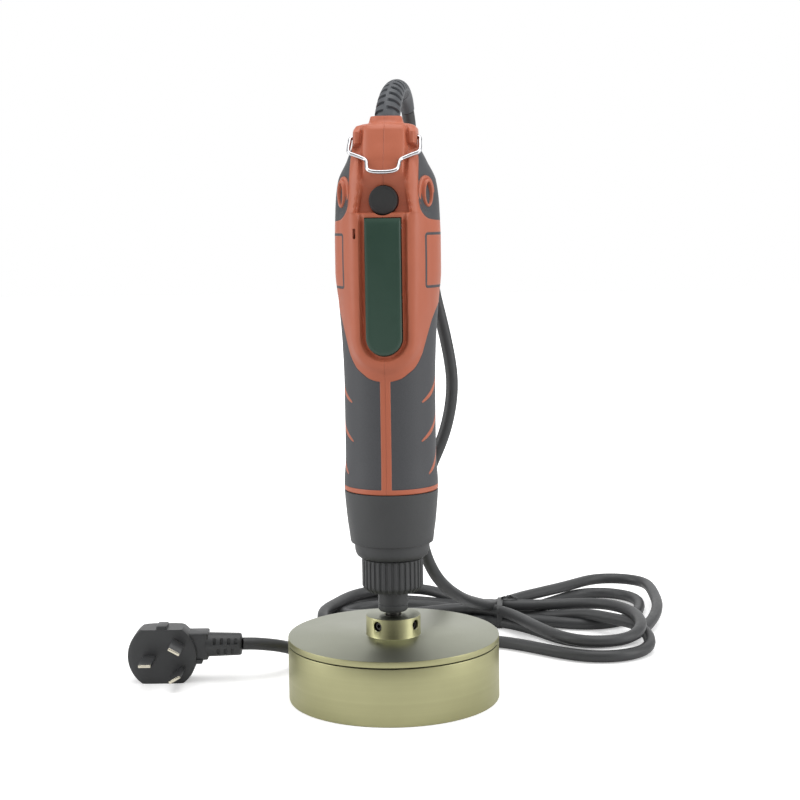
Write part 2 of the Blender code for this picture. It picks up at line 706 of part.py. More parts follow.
def makeButton():
    back = buttonFront + buttonHeight
    rod("direction_button", buttonRadius, buttonFront, back, blackPlastic, (0, 0, down(buttonDrop)), 24,
        "Y")
    switchFront = back + buttonTravel + gap
    block("direction_switch", (-7, switchFront, down(buttonDrop + 6)),
          (7, switchFront + 7, down(buttonDrop - 6)), blackPlastic)


def makeBail():
    """Wire hoop whose ends turn into the ears; it hangs forward and down at 45 degrees."""
    drop = sqrt(0.5)
    hook = 12.2
    flat = [(-hook, 0), (-bailHalfWidth + 1.4, 0), (-bailHalfWidth, 1.4), (-bailHalfWidth - 0.5, 11.5),
            (-bailHalfWidth + 0.8, 13.4), (-9.4, 15.2), (-8.0, 16.6), (-7.6, 21.6), (-5.8, bailLength)]
    outline = flat + [(-x, reach) for x, reach in reversed(flat)]
    points = [(x, -reach * drop, -reach * drop) for x, reach in outline]
    bail = cable("bail", points, bailWire, springSteel, 1, 2)
    bail.location = Vector((0, bailBack, down(bailDrop))) * mm


# ---------------------------------------------------------------- cable entry
def archPoint(turn, lift):
    """Point on the arch that the strain relief makes over the casing's top and behind it."""
    back = reliefArch * (1 - cos(turn))
    return Vector((back * sin(reliefLean), back * cos(reliefLean), lift + reliefArch * sin(turn)))


def archRing(turn, radius, count=14):
    middle = archPoint(turn, down(reliefDrop))
    outward = Vector((-cos(turn) * sin(reliefLean), -cos(turn) * cos(reliefLean), sin(turn)))
    across = Vector((cos(reliefLean), -sin(reliefLean), 0))
    spokes = [(cos(fullTurn * i / count), sin(fullTurn * i / count)) for i in range(count)]
    return [middle + outward * radius * a + across * radius * b for a, b in spokes]


def reliefWay():
    """Cutter for the curved hole that the strain relief leaves the casing through."""
    turns = [radians(t) for t in (0.5, 6, 12, 18, 24, 30, 36)]
    return loft("relief_way", [archRing(turn, reliefRadius + gap + 0.1) for turn in turns], orange)


def makeCableEntry():
    rings = []
    flange = collarRadius + 1.1
    flangeDrop = flangeRoomDrop - 0.6
    stem = ((cordRadius, terminalDrop - 0.5), (cordRadius, flangeDrop + 0.1), (flange, flangeDrop),
            (flange, bailDrop + 0.4), (reliefRadius, bailDrop + gap))
    for radius, depth in stem:
        ring = archRing(0, radius)
        lift = down(depth) - ring[0].z
        rings.append([spot + Vector((0, 0, lift)) for spot in ring])
    count = 11
    for i in range(count + 1):
        turn = reliefStart + (reliefSweep - reliefStart) * i / count
        rings.append(archRing(turn, reliefRadius + (reliefTip - reliefRadius) * i / count))
    loft("strain_relief", rings, blackRubber)
    clampHole = rod("clamp_hole", cordRadius + gap, -10, 10, blackPlastic, (0, 0, down(clampDrop)), 12)
    clamp = block("cable_clamp", (-9.8, -6.1, down(clampDrop + 5.4)), (9.8, 6.1, down(clampDrop)),
                  blackPlastic)
    cutBy(clamp, clampHole)
    block("terminal_block", (-8.8, -7.2, down(terminalDrop + 4.4)), (8.8, 7.2, down(terminalDrop)),
          blackPlastic)


# ---------------------------------------------------------------- cord, hank and plug
cordTop = ((0.1, 0.6, -0.75), (0.7, 4.4, -6.4), (1.3, 6.9, -13.8))   # from the relief's tip
# x, y and the share of the way up from the hank to the casing's top
cordDrop = ((8.6, 52.4, 0.936), (12.4, 56.4, 0.826), (17.8, 58.8, 0.693), (23.4, 60.0, 0.58),
            (25.6, 60.6, 0.494), (23.2, 60.4, 0.416), (17.4, 59.8, 0.33), (12.6, 59.4, 0.244),
            (11.4, 61.6, 0.166), (13.6, 68.4, 0.104), (19.0, 82.0, 0.061), (25.8, 100.0, 0.031),
            (31.4, 119.0, 0.01), (37.6, 138.0, 0.0))
cordLead = ((-77.6, 23.7, 17.7), (-70.4, 24.9, 17.4), (-62.8, 28.6, 16.6), (-57.0, 35.4, 15.2),
            (-54.0, 45.0, 13.0), (-53.4, 56.0, 10.0), (-54.0, 68.0, 6.6), (-54.4, 80.0, 4.2),
            (-53.2, 92.0, 3.3), (-49.0, 103.0, 3.2), (-42.2, 112.0, 3.2), (-33.7, 121.6, 3.2))
hankTie = (46.0, 138.0)
hankWaist = 12.0
hankEnds = ((hankTie, hankWaist, (112.0, 208.0), 27.0), (hankTie, hankWaist, (104.0, 92.0), 30.0),
            (hankTie, hankWaist, (-8.0, 152.0), 40.0))


def capsule(start, startRadius, end, endRadius, count=10):
    """A round-ended outline that runs from one round to a bigger one."""
    path = Vector(end) - Vector(start)
    heading = path.angle_signed(Vector((1, 0)))
    flare = (endRadius - startRadius) / path.length
    outline = []
    for centre, radius, begin in ((end, endRadius, -pi / 2 - flare), (start, startRadius, pi / 2 + flare)):
        span = pi + 2 * flare if centre == end else pi - 2 * flare
        for i in range(count + 1):
            turn = heading + begin + span * i / count
            outline.append((centre[0] + radius * cos(turn), centre[1] + radius * sin(turn)))
    return outline


def makeCord():
    tip = archPoint(reliefSweep, down(reliefDrop))
    rest = hankHeight + cordRadius + gap + 0.1
    drop = [tip + Vector(spot) for spot in cordTop]
    drop += [Vector((x, y, rest + share * (casingTop - rest))) for x, y, share in cordDrop]
    cable("cord_drop", drop, cordRadius, blackRubber, perSpan=2)
    cable("cord_lead", cordLead, cordRadius, blackRubber)
    hank = None
    for i, (start, startRadius, end, endRadius) in enumerate(hankEnds):
        name = "cord_hank" if hank is None else f"hank_end_{i + 1}"
        piece = prism(name, capsule(start, startRadius, end, endRadius), 0, hankHeight, blackRubber)
        if hank is None:
            hank = piece
        else:
            cutBy(hank, piece, "UNION")
    reach = hankWaist + 15.0
    tie = block("cord_tie", (-2, -reach, 0), (2, reach, hankHeight + gap + 1.2), blackRubber, (*hankTie, 0))
    inside = block("tie_inside", (-4, -reach + 1.2, -1), (4, reach - 1.2, hankHeight + gap), blackRubber,
                   (*hankTie, 0))
    cutBy(tie, inside)


def makePlug():
    """Round plug standing on its lower flat, blades towards the front, cord leaving on its right."""
    frame = bpy.data.objects.new("plug_frame", None)
    bpy.context.scene.collection.objects.link(frame)
    frame.location = Vector((*plugPlace, plugFlat)) * mm
    frame.rotation_euler.z = plugTurn
    half = plugThickness / 2
    outline = [(x, max(-plugFlat, min(plugFlat, z))) for x, z in circle(plugRadius, 36)]
    rings = [[(x, y, z) for x, z in outline] for y in (half, -half)]
    body = loft("plug_body", rings, blackRubber)
    tab = block("plug_tab", (-2.5, -half, plugFlat - 1), (2.5, half - 4, plugFlat + 1.8), blackRubber)
    neck = block("plug_neck", (plugNeck[0], -5.0, plugReliefLift - 6.8),
                 (plugNeck[1], half - 0.5, plugReliefLift + 6.8), blackRubber)
    relief = turned("plug_relief", [(0, plugReliefEnd), (5.4, plugReliefEnd), (6.0, plugNeck[1] - 1),
                                    (0, plugNeck[1] - 1)], blackRubber, (0, 0, plugReliefLift), 14, "X")
    for piece in (tab, neck, relief):
        cutBy(body, piece, "UNION")
    wide, thick, long = bladeSize
    blades = ((liveBladeRadius, radians(60), radians(-30)), (liveBladeRadius, radians(-60), radians(30)),
              (earthBladeRadius, pi, 0))
    pieces = [body, tab, neck, relief]
    for i, (radius, turn, tilt) in enumerate(blades):
        place = (bladeCentre + radius * cos(turn), 0, radius * sin(turn))
        blade = block(f"plug_blade_{i + 1}", (-wide / 2, -half - long, -thick / 2),
                      (wide / 2, -half + 5, thick / 2), brass, place)
        slot = block(f"blade_slot_{i + 1}", (-wide / 2 - gap, -half - 1, -thick / 2 - gap),
                     (wide / 2 + gap, -half + 5 + gap, thick / 2 + gap), blackRubber, place)
        blade.rotation_euler.y = -tilt
        slot.rotation_euler.y = -tilt
        cutBy(body, slot)
        pieces += [blade, slot]
    for piece in pieces:
        piece.parent = frame


for obj in list(bpy.data.objects):
    bpy.data.objects.remove(obj, do_unlink=True)

makeHead()
makeSpindle()
makeTorqueRing()
makeNose()
makeGears()
makeMotor()
makeCasing()
makeInlets()
makeLever()
makeButton()
makeBail()
makeCableEntry()
makeCord()
makePlug()
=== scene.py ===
import bpy
from math import atan2, cos, degrees, hypot, pi, radians, sin, sqrt
from mathutils import Euler, Matrix, Vector


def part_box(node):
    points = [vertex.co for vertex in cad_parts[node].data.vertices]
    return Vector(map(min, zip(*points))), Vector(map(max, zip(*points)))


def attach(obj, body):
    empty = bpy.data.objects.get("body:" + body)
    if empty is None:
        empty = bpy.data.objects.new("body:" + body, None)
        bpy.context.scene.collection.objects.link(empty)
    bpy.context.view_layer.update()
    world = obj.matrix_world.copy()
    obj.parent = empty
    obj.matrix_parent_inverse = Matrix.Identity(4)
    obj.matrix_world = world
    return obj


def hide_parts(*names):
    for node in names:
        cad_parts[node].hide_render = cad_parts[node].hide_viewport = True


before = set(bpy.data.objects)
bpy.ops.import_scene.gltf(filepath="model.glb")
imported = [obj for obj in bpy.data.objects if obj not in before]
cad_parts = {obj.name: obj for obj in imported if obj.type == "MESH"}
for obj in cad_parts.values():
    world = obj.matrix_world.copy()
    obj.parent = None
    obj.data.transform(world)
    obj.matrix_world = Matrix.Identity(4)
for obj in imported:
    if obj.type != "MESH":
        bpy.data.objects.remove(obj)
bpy.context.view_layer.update()        # handheld capping machine standing on its head, +Z up, lever towards -Y
mm = 0.001


def deselect():
    if bpy.context.mode != "OBJECT":
        bpy.ops.object.mode_set(mode="OBJECT")
    bpy.ops.object.select_all(action="DESELECT")


def nodeBox(name):
    low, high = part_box(name)
    return low / mm, high / mm


# heights that the pieces share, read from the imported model, in mm
cupTop = nodeBox("head_cup")[1].z
headRadius = nodeBox("head_cup")[1].x
plateLow, plateHigh = nodeBox("head_plate")[0].z + 3.1, nodeBox("head_plate")[1].z - 9.5
hubTop = nodeBox("head_plate")[1].z
sleeveLow, sleeveHigh = (corner.z for corner in nodeBox("bit_sleeve"))
ringLow = nodeBox("torque_ring")[0].z
noseHigh = nodeBox("casing_left")[0].z - 0.3
casingLow, casingHigh = (corner.z for corner in nodeBox("casing_left"))


# camera

cameraSet = {"distance": 743, "height": 226.3, "aside": 4.6, "turn": radians(5.5),
             "tilt": radians(6.5), "roll": radians(-0.8), "lens": 72}


def makeCamera():
    turn = cameraSet["turn"]
    far, aside = cameraSet["distance"], cameraSet["aside"]
    x, y = far * sin(turn) + aside * cos(turn), aside * sin(turn) - far * cos(turn)
    bpy.ops.object.camera_add(location=Vector((x, y, cameraSet["height"])) * mm)
    camera = bpy.context.object
    facing = Euler((pi / 2 - cameraSet["tilt"], 0, turn)).to_matrix()
    camera.rotation_euler = (facing @ Matrix.Rotation(cameraSet["roll"], 3, "Z")).to_euler()
    camera.data.lens = cameraSet["lens"]
    camera.data.clip_start, camera.data.clip_end = 0.05, 20
    bpy.context.scene.camera = camera
    bpy.context.scene.view_settings.view_transform = "Standard"


makeCamera()
print("camera stands")


# finishes

def paint(red, green, blue):
    # screen values 0-255 to the linear colour that the shader takes
    values = [c / 255 for c in (red, green, blue)]
    return [*((v / 12.92 if v <= 0.04045 else ((v + 0.055) / 1.055) ** 2.4) for v in values), 1.0]


def shaded(colour, share):
    return [*(min(1.0, c * share) for c in colour[:3]), 1.0]


class Finish:
    # one node material, built up step by step
    def __init__(self, name, **sockets):
        self.material = bpy.data.materials.new(name)
        self.material.use_nodes = True
        self.nodes, self.links = self.material.node_tree.nodes, self.material.node_tree.links
        self.shader = self.nodes["Principled BSDF"]
        for socket, value in sockets.items():
            self.shader.inputs[socket.replace("_", " ")].default_value = value

    def node(self, kind, values=(), **settings):
        node = self.nodes.new(kind)
        for key, value in settings.items():
            setattr(node, key, value)
        for key, value in dict(values).items():
            if hasattr(value, "is_output"):
                self.links.new(value, node.inputs[key])
            else:
                node.inputs[key].default_value = value
        return node

    def place(self, scale=(1, 1, 1), turn=(0, 0, 0)):
        spot = self.node("ShaderNodeTexCoord").outputs["Object"]
        return self.node("ShaderNodeMapping", {"Vector": spot, "Scale": scale, "Rotation": turn}).outputs[0]

    def noise(self, scale, detail=3.0, rough=0.5, stretch=(1, 1, 1), turn=(0, 0, 0), vector=None):
        vector = vector or self.place(stretch, turn)
        return self.node("ShaderNodeTexNoise", {"Vector": vector, "Scale": scale, "Detail": detail,
                                                "Roughness": rough}).outputs["Fac"]

    def spread(self, value, low, high, newLow, newHigh):
        return self.node("ShaderNodeMapRange", {0: value, 1: low, 2: high, 3: newLow, 4: newHigh}).outputs[0]

    def maths(self, operation, first, second=0.0):
        return self.node("ShaderNodeMath", {0: first, 1: second}, operation=operation).outputs[0]

    def blended(self, factor, first, second, way="MIX"):
        mix = self.node("ShaderNodeMix", data_type="RGBA", blend_type=way)
        for place, value in ((0, factor), (6, first), (7, second)):
            if hasattr(value, "is_output"):
                self.links.new(value, mix.inputs[place])
            else:
                mix.inputs[place].default_value = value
        return mix.outputs[2]

    def colour(self, value):
        self.links.new(value, self.shader.inputs["Base Color"])

    def roughness(self, value):
        self.links.new(value, self.shader.inputs["Roughness"])

    def bump(self, height, depth, strength=1.0, under=None):
        values = {"Height": height, "Distance": depth * mm, "Strength": strength}
        if under is not None:
            values["Normal"] = under
        out = self.node("ShaderNodeBump", values).outputs[0]
        self.links.new(out, self.shader.inputs["Normal"])
        return out


def simpleFinish(name, colour, rough, roughSpread=0.08, tone=0.08, grain=1400, depth=0.03, mottle=55,
                 stretch=(1, 1, 1), **sockets):
    look = Finish(name, **sockets)
    cloud = look.noise(mottle, 5, 0.6)
    fine = look.noise(grain, 2, 0.6, stretch)
    tones = shaded(colour, 1 - tone), shaded(colour, 1 + tone)
    look.colour(look.blended(look.spread(cloud, 0.3, 0.7, 0, 1), *tones))
    mixed = look.maths("ADD", look.maths("MULTIPLY", cloud, 0.5), look.maths("MULTIPLY", fine, 0.5))
    look.roughness(look.spread(mixed, 0.3, 0.7, rough - roughSpread, rough + roughSpread))
    look.bump(fine, depth)
    return look.material


def turnedMetal(name, colour, rough, ringPitch=0.12, flatColour=None, **sockets):
    # fine lathe lines that run round the Z axis, on faces and on rims alike
    look = Finish(name, Metallic=1.0, Anisotropic=0.55, **sockets)
    spot = look.node("ShaderNodeSeparateXYZ", {0: look.place()})
    across = look.maths("SQRT", look.maths("ADD", look.maths("POWER", spot.outputs[0], 2.0),
                                           look.maths("POWER", spot.outputs[1], 2.0)))
    line = look.node("ShaderNodeCombineXYZ", {0: look.maths("ADD", across, spot.outputs[2]),
                                              1: look.maths("MULTIPLY", across, 0.02)}).outputs[0]
    lines = look.noise(1 / (ringPitch * mm), 2, 0.7, vector=line)
    broad = look.noise(260, 3, 0.6, vector=line)
    cloud = look.noise(35, 4, 0.6)
    tone = look.blended(look.spread(broad, 0.3, 0.7, 0, 1), shaded(colour, 0.95), shaded(colour, 1.05))
    tone = look.blended(look.spread(cloud, 0.35, 0.75, 0, 0.35), tone, shaded(colour, 0.86))
    if flatColour:
        # faces that look up or down take a paler tone
        normal = look.node("ShaderNodeTexCoord").outputs["Normal"]
        facing = look.maths("ABSOLUTE", look.node("ShaderNodeSeparateXYZ", {0: normal}).outputs[2])
        tone = look.blended(look.spread(facing, 0.6, 0.95, 0, 1), tone, flatColour)
    look.colour(tone)
    look.roughness(look.spread(look.maths("ADD", lines, cloud), 0.6, 1.4, rough - 0.06, rough + 0.08))
    look.bump(lines, 0.004, 0.6)
    tangent = look.node("ShaderNodeTangent", direction_type="RADIAL", axis="Z").outputs[0]
    look.links.new(tangent, look.shader.inputs["Tangent"])
    return look.material


champagneHead = turnedMetal("champagne_head", paint(170, 168, 129), 0.37, flatColour=paint(158, 160, 144))
orangeShell = simpleFinish("orange_shell", paint(194, 108, 80), 0.46, depth=0.02, grain=2600, mottle=40,
                           tone=0.035)
blackMoulding = simpleFinish("black_moulding", paint(63, 64, 65), 0.5, depth=0.03, grain=1800)
buttonPlastic = simpleFinish("button_plastic", paint(50, 51, 51), 0.45, depth=0.02, grain=2400)
leverPlastic = simpleFinish("lever_plastic", paint(50, 75, 63), 0.36, depth=0.01, grain=3000, tone=0.05,
                            Specular_IOR_Level=0.4)
cordRubber = simpleFinish("cord_rubber", paint(62, 63, 64), 0.47, depth=0.05, grain=420)
plugRubber = simpleFinish("plug_rubber", paint(60, 61, 62), 0.45, depth=0.03, grain=1500)
reliefRubber = simpleFinish("relief_rubber", paint(80, 83, 87), 0.5, depth=0.03, grain=1500)
linerRubber = simpleFinish("liner_rubber", paint(196, 188, 158), 0.4, depth=0.05, grain=600,
                           Subsurface_Weight=0.25)
brightWire = simpleFinish("bright_wire", paint(205, 205, 208), 0.22, depth=0.01, grain=1800, Metallic=1.0)
brightSteel = turnedMetal("bright_steel", paint(176, 176, 178), 0.27)
gearSteel = turnedMetal("gear_steel", paint(150, 148, 144), 0.36, ringPitch=0.2)
darkSteel = simpleFinish("dark_steel", paint(74, 73, 72), 0.42, depth=0.02, grain=900, Metallic=0.9)
copperWindings = simpleFinish("copper_windings", paint(178, 108, 72), 0.35, depth=0.2, grain=700,
                              stretch=(6, 6, 1), Metallic=1.0)
carbonBlock = simpleFinish("carbon_block", paint(46, 46, 47), 0.6, depth=0.05, grain=1200)
brassBlade = simpleFinish("brass_blade", paint(214, 208, 190), 0.24, depth=0.01, grain=1600,
                          stretch=(8, 1, 8), Metallic=1.0)
print("finishes are mixed")


# modelling helpers

def newestPiece(name):
    piece = bpy.context.object
    piece.name = piece.data.name = name
    return piece


def choose(piece):
    deselect()
    bpy.context.view_layer.objects.active = piece
    piece.select_set(True)


def editAll(piece):
    choose(piece)
    bpy.ops.object.mode_set(mode="EDIT")
    bpy.ops.mesh.select_all(action="SELECT")


def leaveEdit():
    bpy.ops.object.mode_set(mode="OBJECT")


def applyAll(piece):
    choose(piece)
    for modifier in list(piece.modifiers):
        bpy.ops.object.modifier_apply(modifier=modifier.name)


def applyPlace(piece):
    # place, turn and size go into the mesh
    choose(piece)
    bpy.ops.object.transform_apply(location=True, rotation=True, scale=True)
    return piece


def closeUp(piece, capped=True):
    # merges what touches, closes open ends and turns the faces outwards
    editAll(piece)
    bpy.ops.mesh.remove_doubles(threshold=0.0000005)
    if capped:
        bpy.ops.mesh.fill_holes(sides=0)
        bpy.ops.mesh.select_all(action="SELECT")
    bpy.ops.mesh.normals_make_consistent(inside=False)
    leaveEdit()


def cutBy(piece, cutter, operation="DIFFERENCE"):
    deselect()
    modifier = piece.modifiers.new("cut", "BOOLEAN")
    modifier.operation, modifier.object = operation, cutter
    applyAll(piece)
    bpy.data.objects.remove(cutter, do_unlink=True)


def joined(name, *pieces):
    deselect()
    for piece in pieces:
        piece.select_set(True)
    bpy.context.view_layer.objects.active = pieces[0]
    bpy.ops.object.join()
    return newestPiece(name)


def finishPiece(piece, angle, finish, slotName, body, *nodes):
    piece.data.materials.clear()
    piece.data.materials.append(finish)
    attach(piece, body)
    if nodes:
        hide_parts(*nodes)
    applyAll(piece)
    applyPlace(piece)
    bpy.ops.object.shade_smooth_by_angle(angle=radians(angle))


def turnedPiece(name, rings, sides=96, ends="capped"):
    # a ring of edges drawn up along the Z axis, step by step, like work on a lathe
    deselect()
    radius, height = rings[0]
    bpy.ops.mesh.primitive_circle_add(vertices=sides, radius=radius * mm)
    piece = newestPiece(name)
    editAll(piece)
    bpy.ops.transform.translate(value=(0, 0, height * mm))
    steps = rings[1:] + ([rings[0]] if ends == "joined" else [])
    for nextRadius, nextHeight in steps:
        rise, share = (nextHeight - height) * mm, nextRadius / radius
        bpy.ops.mesh.extrude_region_move(TRANSFORM_OT_translate={"value": (0, 0, rise)})
        if share != 1:
            bpy.ops.transform.resize(value=(share, share, 1), center_override=(0, 0, nextHeight * mm))
        radius, height = nextRadius, nextHeight
    closeUp(piece, ends == "capped")
    return piece


def turnTo(piece, axis, place):
    # lays a piece made along Z along another axis and puts its foot at a place, in mm
    turns = {"X": Euler((0, pi / 2, 0)), "Y": Euler((-pi / 2, 0, 0)), "Z": Euler((0, 0, 0))}
    piece.matrix_world = Matrix.Translation(Vector(place) * mm) @ turns[axis].to_matrix().to_4x4()
    return applyPlace(piece)


def plainBlock(name, low, high, bevel=0.0, segments=3):
    deselect()
    low, high = Vector(low), Vector(high)
    bpy.ops.mesh.primitive_cube_add(size=1, location=(low + high) / 2 * mm)
    piece = newestPiece(name)
    piece.dimensions = (high - low) * mm
    applyPlace(piece)
    if bevel:
        editAll(piece)
        bpy.ops.mesh.bevel(offset=bevel * mm, segments=segments)
        leaveEdit()
    return piece


def shown(name, data):
    piece = bpy.data.objects.new(name, data)
    bpy.context.scene.collection.objects.link(piece)
    return piece


def bentWire(name, places, radius, steps):
    # a round wire or cord along its places, in metres
    curve = bpy.data.curves.new(name, "CURVE")
    curve.dimensions, curve.resolution_u = "3D", steps
    curve.bevel_depth, curve.bevel_resolution, curve.use_fill_caps = radius * mm, 6, True
    spline = curve.splines.new("BEZIER")
    spline.bezier_points.add(len(places) - 1)
    for point, place in zip(spline.bezier_points, places):
        point.co = place
        point.handle_left_type = point.handle_right_type = "AUTO"
    return shown(name, curve)


def meshed(piece):
    # a curve becomes a mesh under the same name
    choose(piece)
    bpy.ops.object.convert(target="MESH")
    return newestPiece(piece.name)


def skinned(name, rings, loop=False):
    # a skin over rings of points, in mm; a loop's last ring meets its first
    count, wide = len(rings), len(rings[0])
    faces = []
    for i in range(count if loop else count - 1):
        here, there = i * wide, (i + 1) % count * wide
        for k in range(wide):
            after = (k + 1) % wide
            faces.append((here + k, here + after, there + after, there + k))
    mesh = bpy.data.meshes.new(name)
    mesh.from_pydata([Vector(spot) * mm for ring in rings for spot in ring], [], faces)
    return shown(name, mesh)


def repeated(piece, word, count):
    # copies with their own meshes, and the piece itself as the last
    row = []
    for i in range(count):
        one = piece
        if i < count - 1:
            one = shown(word, piece.data.copy())
            one.matrix_world = piece.matrix_world
        one.name = one.data.name = f"{word}_{i + 1}"
        row.append(one)
    return row


# cord, its tie and its way over the floor

cordSet = {
    "radius": 3.1, "spacing": 5.0, "tightest": 19.8,
    # from the strain relief's tip down behind the tool to the hank, in mm
    "drop": ((6.1, 43.5, 277.5), (6.6, 47.2, 271.8), (7.0, 49.6, 264.5), (7.8, 52.2, 255.0),
        (10.8, 56.0, 227.0), (16.2, 58.6, 193.0), (22.6, 59.8, 164.0), (25.2, 60.5, 142.0),
        (22.2, 60.2, 122.0), (18.0, 59.8, 110.0), (13.0, 59.4, 98.0), (9.2, 59.6, 80.0), (9.2, 61.2, 63.0),
        (11.8, 64.4, 51.5), (16.0, 69.6, 41.6), (21.4, 80.0, 32.6), (28.6, 97.0, 23.4), (36.2, 118.0, 15.8),
        (41.0, 132.0, 11.6)),
    # three loops on the right and on the left, each through the tie, then the last one on the right
    "right one": ((46, 144.6, 9.7), (57, 160, 9.7), (71, 175.5, 9.6), (86, 192, 9.6), (97, 206.5, 9.6),
        (104, 215, 9.6), (110.5, 220, 9.6), (117, 220.8, 9.6), (123, 217.5, 9.6), (127.6, 209.5, 9.5),
        (130.6, 198, 9.4), (133.4, 172, 8.6), (133.6, 150, 7.2), (129, 127, 5.2), (120, 105, 3.6),
        (107, 90, 3.35), (92, 86, 3.35), (78, 96, 3.35), (64, 113, 3.35)),
    "left one": ((46, 127.8, 3.35), (28, 127, 3.35), (8, 115, 3.35), (-14, 102, 3.35), (-34, 97, 3.6),
        (-47, 104, 6.6), (-51.2, 120, 9.4), (-47, 140, 9.6), (-41, 158, 9.6), (-31, 171, 9.6),
        (-16, 178, 9.6), (4, 176, 9.2), (24, 162, 6.2), (36, 152.5, 3.9)),
    "right two": ((47, 149, 3.35), (57, 155, 3.35), (69, 168, 3.35), (81, 184, 3.35), (91, 198, 3.35),
        (98, 204.5, 3.35), (106, 206.5, 3.35), (114, 203, 3.35), (120, 194, 3.35), (123.6, 182, 3.35),
        (124.6, 168, 3.35), (120.5, 147, 3.35), (110, 131, 3.35), (95, 125, 3.35), (80, 127, 3.35),
        (63, 133, 3.35)),
    "left two": ((46, 134.2, 3.35), (28, 134, 3.35), (8, 124, 3.35), (-14, 111, 3.35), (-34, 107, 3.35),
        (-48, 117, 3.35), (-52.4, 134, 3.35), (-47, 157, 3.35), (-36, 171, 3.35), (-22, 176, 3.35),
        (-4, 174, 3.35), (16, 165, 4.0), (30, 153, 6.9), (40, 145, 9.0)),
    "right three": ((52, 140.6, 9.7), (66, 141.2, 9.8), (82, 141, 10.4), (99, 136, 12.2), (112, 123, 13.4),
        (119.5, 105, 13.6), (121, 88, 12.6), (116, 72, 10.4), (104, 63.5, 9.7), (90, 66, 9.6),
        (77, 78, 9.6), (64, 99, 9.6), (55, 116, 9.6)),
    "left three": ((43, 129.4, 9.6), (26, 132, 9.6), (6, 124, 9.6), (-14, 116.5, 9.4), (-33, 121.5, 8.0),
        (-42.5, 139, 4.8), (-35, 157, 3.35), (-16, 165.5, 3.35), (6, 162, 3.35), (27, 151.5, 3.35)),
    "right four": ((46, 143, 3.35), (62, 142.4, 3.35), (78, 137, 4.8), (93, 126, 8.6), (107, 116, 8.8),
        (119, 105, 8.6), (125, 92, 6.2), (124, 77, 3.8), (114, 65, 3.35), (99, 60, 3.35), (83, 64.5, 3.35),
        (67, 75, 3.35), (50, 85, 3.35)),
    # behind the head, round its left side and up to the plug
    "lead": ((30, 89.5, 3.35), (8, 90, 3.35), (-14, 88.5, 3.35), (-33, 83.0, 3.35), (-46.0, 73.0, 3.6),
        (-52.6, 60.0, 5.0), (-54.8, 46.5, 8.8), (-58.6, 36.0, 13.0), (-64.4, 29.6, 15.8),
        (-71.2, 26.0, 17.2), (-77.6, 24.0, 17.7)),
}


def cordLength(points):
    return sum((Vector(b) - Vector(a)).length for a, b in zip(points, points[1:]))


def evenRoute(points, spacing):
    # smooth curve through the points, cut into even steps
    dense = []
    last = len(points) - 1
    for i in range(last):
        before, start, end, after = (points[min(max(k, 0), last)] for k in (i - 1, i, i + 1, i + 2))
        for k in range(12):
            t = k / 12
            bent, twisted = 2 * before - 5 * start + 4 * end - after, 3 * start - before - 3 * end + after
            dense.append(0.5 * (2 * start + (end - before) * t + bent * t * t + twisted * t ** 3))
    dense.append(points[-1])
    route, run = [dense[0]], 0.0
    for here, there in zip(dense, dense[1:]):
        run += (there - here).length
        if run >= spacing:
            route.append(there)
            run = 0.0
    return route[:-1] + [dense[-1]] if run < spacing / 2 else route + [dense[-1]]


def easedRoute(points, tightest, passes=1200):
    # a cord can't fold sharply: at too tight a bend a point moves towards the middle of its neighbours
    points = list(points)
    for _ in range(passes):
        moved = 0
        for i in range(2, len(points) - 2):
            a, b, c = points[i - 1], points[i], points[i + 1]
            area = (b - a).cross(c - b).length
            sides = (b - a).length * (c - b).length * (c - a).length
            if area > 1e-12 and sides / (2 * area) < tightest * mm:
                points[i] = b.lerp((a + c) / 2, 0.4)
                moved += 1
        if not moved:
            break
    for share in (0.5, -0.52) * 8:
        # evens out what is left without drawing the loops in
        inside = [b.lerp((a + c) / 2, share) for a, b, c in zip(points[1:], points[2:-2], points[3:])]
        points = points[:2] + inside + points[-2:]
    return points


def makeCord():
    spots = [Vector(spot) * mm for spots in cordSet.values() if type(spots) is tuple for spot in spots]
    places = easedRoute(evenRoute(spots, cordSet["spacing"] * mm), cordSet["tightest"])
    cord = bentWire("cord", places, cordSet["radius"], 3)
    cord.data.materials.append(cordRubber)
    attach(cord, "housing")
    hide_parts("cord_drop", "cord_hank", "cord_lead")
    print("cord is", round(cordLength(places), 3), "m long")
    return cord, places


cord, cordRoute = makeCord()


# casing: two halves, lofted as one closed wall each

